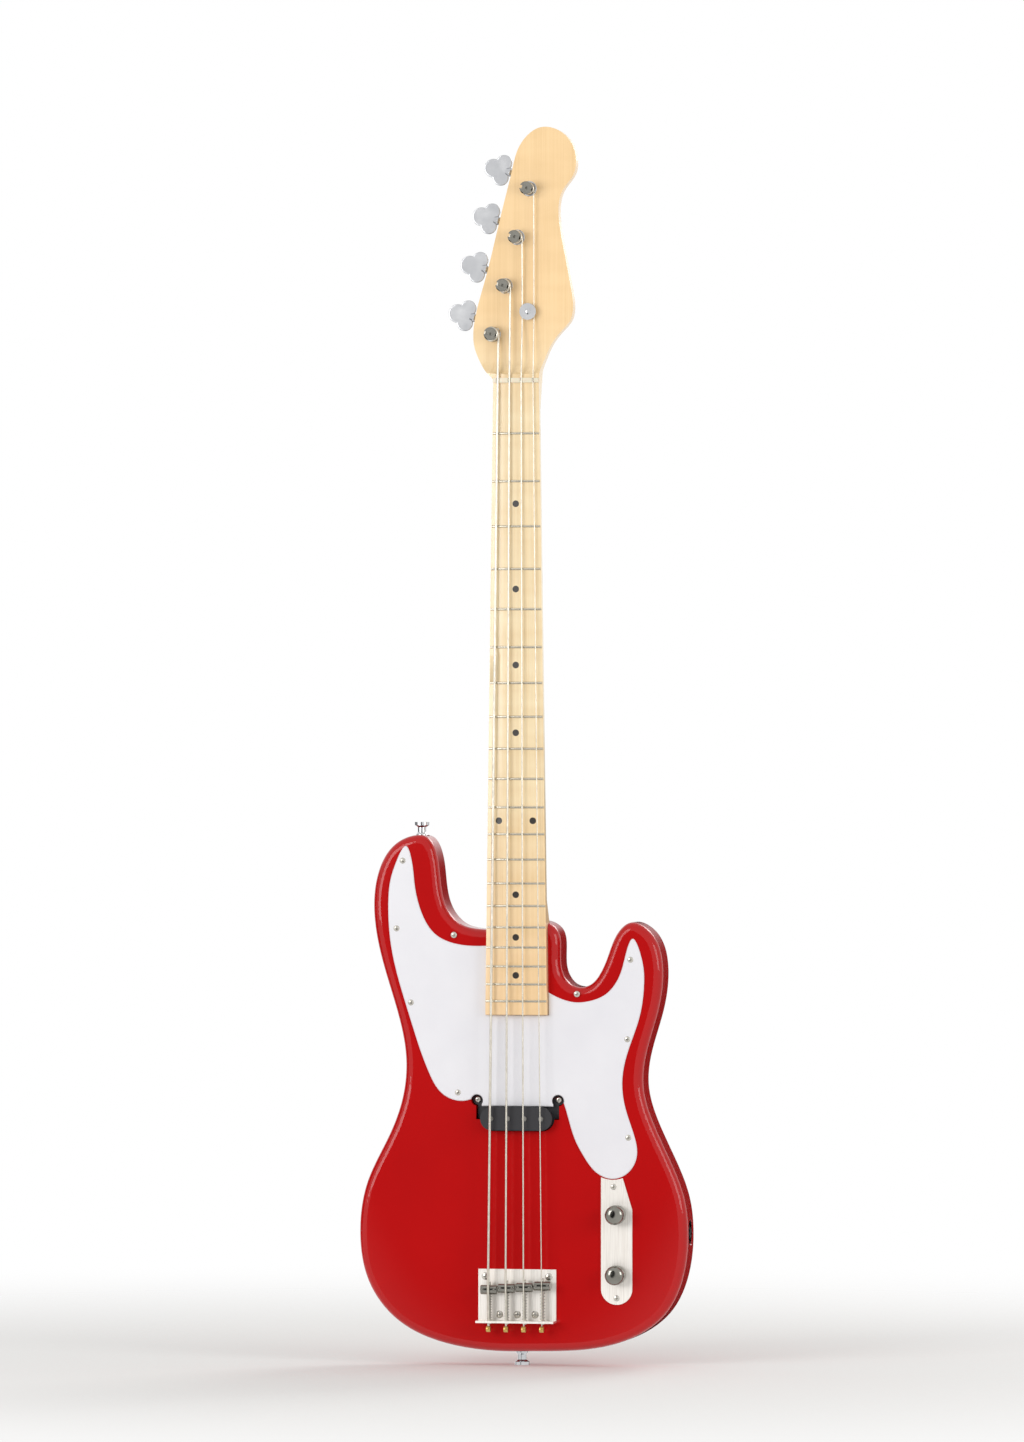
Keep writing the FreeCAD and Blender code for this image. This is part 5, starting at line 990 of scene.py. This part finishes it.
def dark_flag():
    # Black cloth, as an oval that fades out at its rim: the flag's plane reaches 0.5 from its
    # middle, and doubling that brings its rim to 1, where the gradient ends
    material, tree, shader, place = new_finish("dark_flag", {
        "Base Color": linear(FLAG_BLACK), "Roughness": 1.0, "Specular IOR Level": 0.0})
    wide = add_node(tree, "Mapping", {"Scale": (2, 2, 2)}, {"Vector": place})
    oval = add_node(tree, "TexGradient", {"gradient_type": "SPHERICAL"}, {"Vector": wide.outputs["Vector"]})
    cover = add_node(tree, "MapRange", {"From Max": FLAG_SOFT, "interpolation_type": "SMOOTHSTEP"},
                     {"Value": oval.outputs["Fac"]})
    clear = add_node(tree, "BsdfTransparent", {})
    mixed = add_node(tree, "MixShader", {}, {
        0: cover.outputs["Result"], 1: clear.outputs["BSDF"], 2: shader.outputs["BSDF"]})
    tree.links.new(mixed.outputs["Shader"], tree.nodes["Material Output"].inputs["Surface"])
    return material


bpy.ops.object.select_all(action="DESELECT")
bpy.ops.mesh.primitive_circle_add(vertices=FLOOR_ROUND, radius=FLOOR_RADIUS, fill_type="NGON",
                                  location=(0, 0, cad_box[0].z))
floor = bpy.context.object
floor.name = "floor"
floor.data.materials.append(paper_floor())
floor.visible_glossy = False

black_oval = dark_flag()
for name, (spot, turn, size) in FLAGS.items():
    bpy.ops.mesh.primitive_plane_add(size=1, location=spot, rotation=(math.pi / 2, 0, math.radians(turn)))
    flag = bpy.context.object
    flag.name = name
    flag.scale = (size[0], size[1], 1)
    flag.data.materials.append(black_oval)
    flag.visible_camera = False
    flag.visible_diffuse = False
    flag.visible_shadow = False

# Light: an even white room, dimmer than the backdrop that the camera, the plating and the
# lacquer see, and three soft boxes aimed at the middle of the instrument.
BACKDROP_LEVEL = 1.0
AMBIENT_LEVEL = 0.62
AIM = Vector((0, 0, 0.6))
# Place, width and power of each lamp
LAMPS = {
    "key_softbox": ((-1.7, -2.8, 1.1), 1.7, 43.0),
    "fill_softbox": ((2.4, -1.4, 1.0), 1.2, 19.0),
    "rim_softbox": ((1.0, 2.2, 1.9), 1.2, 20.0),
}

world = bpy.data.worlds.new("studio")
bpy.context.scene.world = world
world.use_nodes = True
sky = world.node_tree
rays = add_node(sky, "LightPath", {})
seen = add_node(sky, "Math", {"operation": "MAXIMUM"},
                {0: rays.outputs["Is Camera Ray"], 1: rays.outputs["Is Glossy Ray"]})
shown = add_node(sky, "Math", {"operation": "MAXIMUM"},
                 {0: seen.outputs["Value"], 1: rays.outputs["Is Transmission Ray"]})
level = add_node(sky, "MapRange", {"To Min": AMBIENT_LEVEL, "To Max": BACKDROP_LEVEL},
                 {"Value": shown.outputs["Value"]})
sky.nodes["Background"].inputs["Color"].default_value = (1, 1, 1, 1)
sky.links.new(level.outputs["Result"], sky.nodes["Background"].inputs["Strength"])

for name, (spot, size, power) in LAMPS.items():
    lamp = bpy.data.lights.new(name, "AREA")
    lamp.size = size
    lamp.energy = power
    holder = bpy.data.objects.new(name, lamp)
    holder.location = spot
    holder.rotation_euler = (AIM - Vector(spot)).to_track_quat("-Z", "Y").to_euler()
    bpy.context.scene.collection.objects.link(holder)

# Camera: a long lens at the photograph's viewing angle, a little to the right of the front,
# with the photograph's frame worked out in metres at the instrument.
VIEW_AZIMUTH = math.radians(11.0)
VIEW_DISTANCE = 9.0
VIEW_FAR = 100.0
FRAME_HEIGHT = 1.3837
FRAME_CENTRE = 0.616
FRAME_SHIFT = 0.0096
SENSOR = 36.0

rightward = Vector((math.cos(VIEW_AZIMUTH), math.sin(VIEW_AZIMUTH), 0))
backward = Vector((math.sin(VIEW_AZIMUTH), -math.cos(VIEW_AZIMUTH), 0))
lens = bpy.data.cameras.new("camera")
lens.sensor_width = SENSOR
lens.lens = SENSOR * VIEW_DISTANCE / FRAME_HEIGHT
lens.clip_end = VIEW_FAR
camera = bpy.data.objects.new("camera", lens)
target = Vector((0, 0, FRAME_CENTRE)) - rightward * FRAME_SHIFT
camera.location = target + backward * VIEW_DISTANCE
camera.rotation_euler = (-backward).to_track_quat("-Z", "Y").to_euler()
bpy.context.scene.collection.objects.link(camera)
bpy.context.scene.camera = camera
bpy.context.scene.view_settings.view_transform = "Standard"
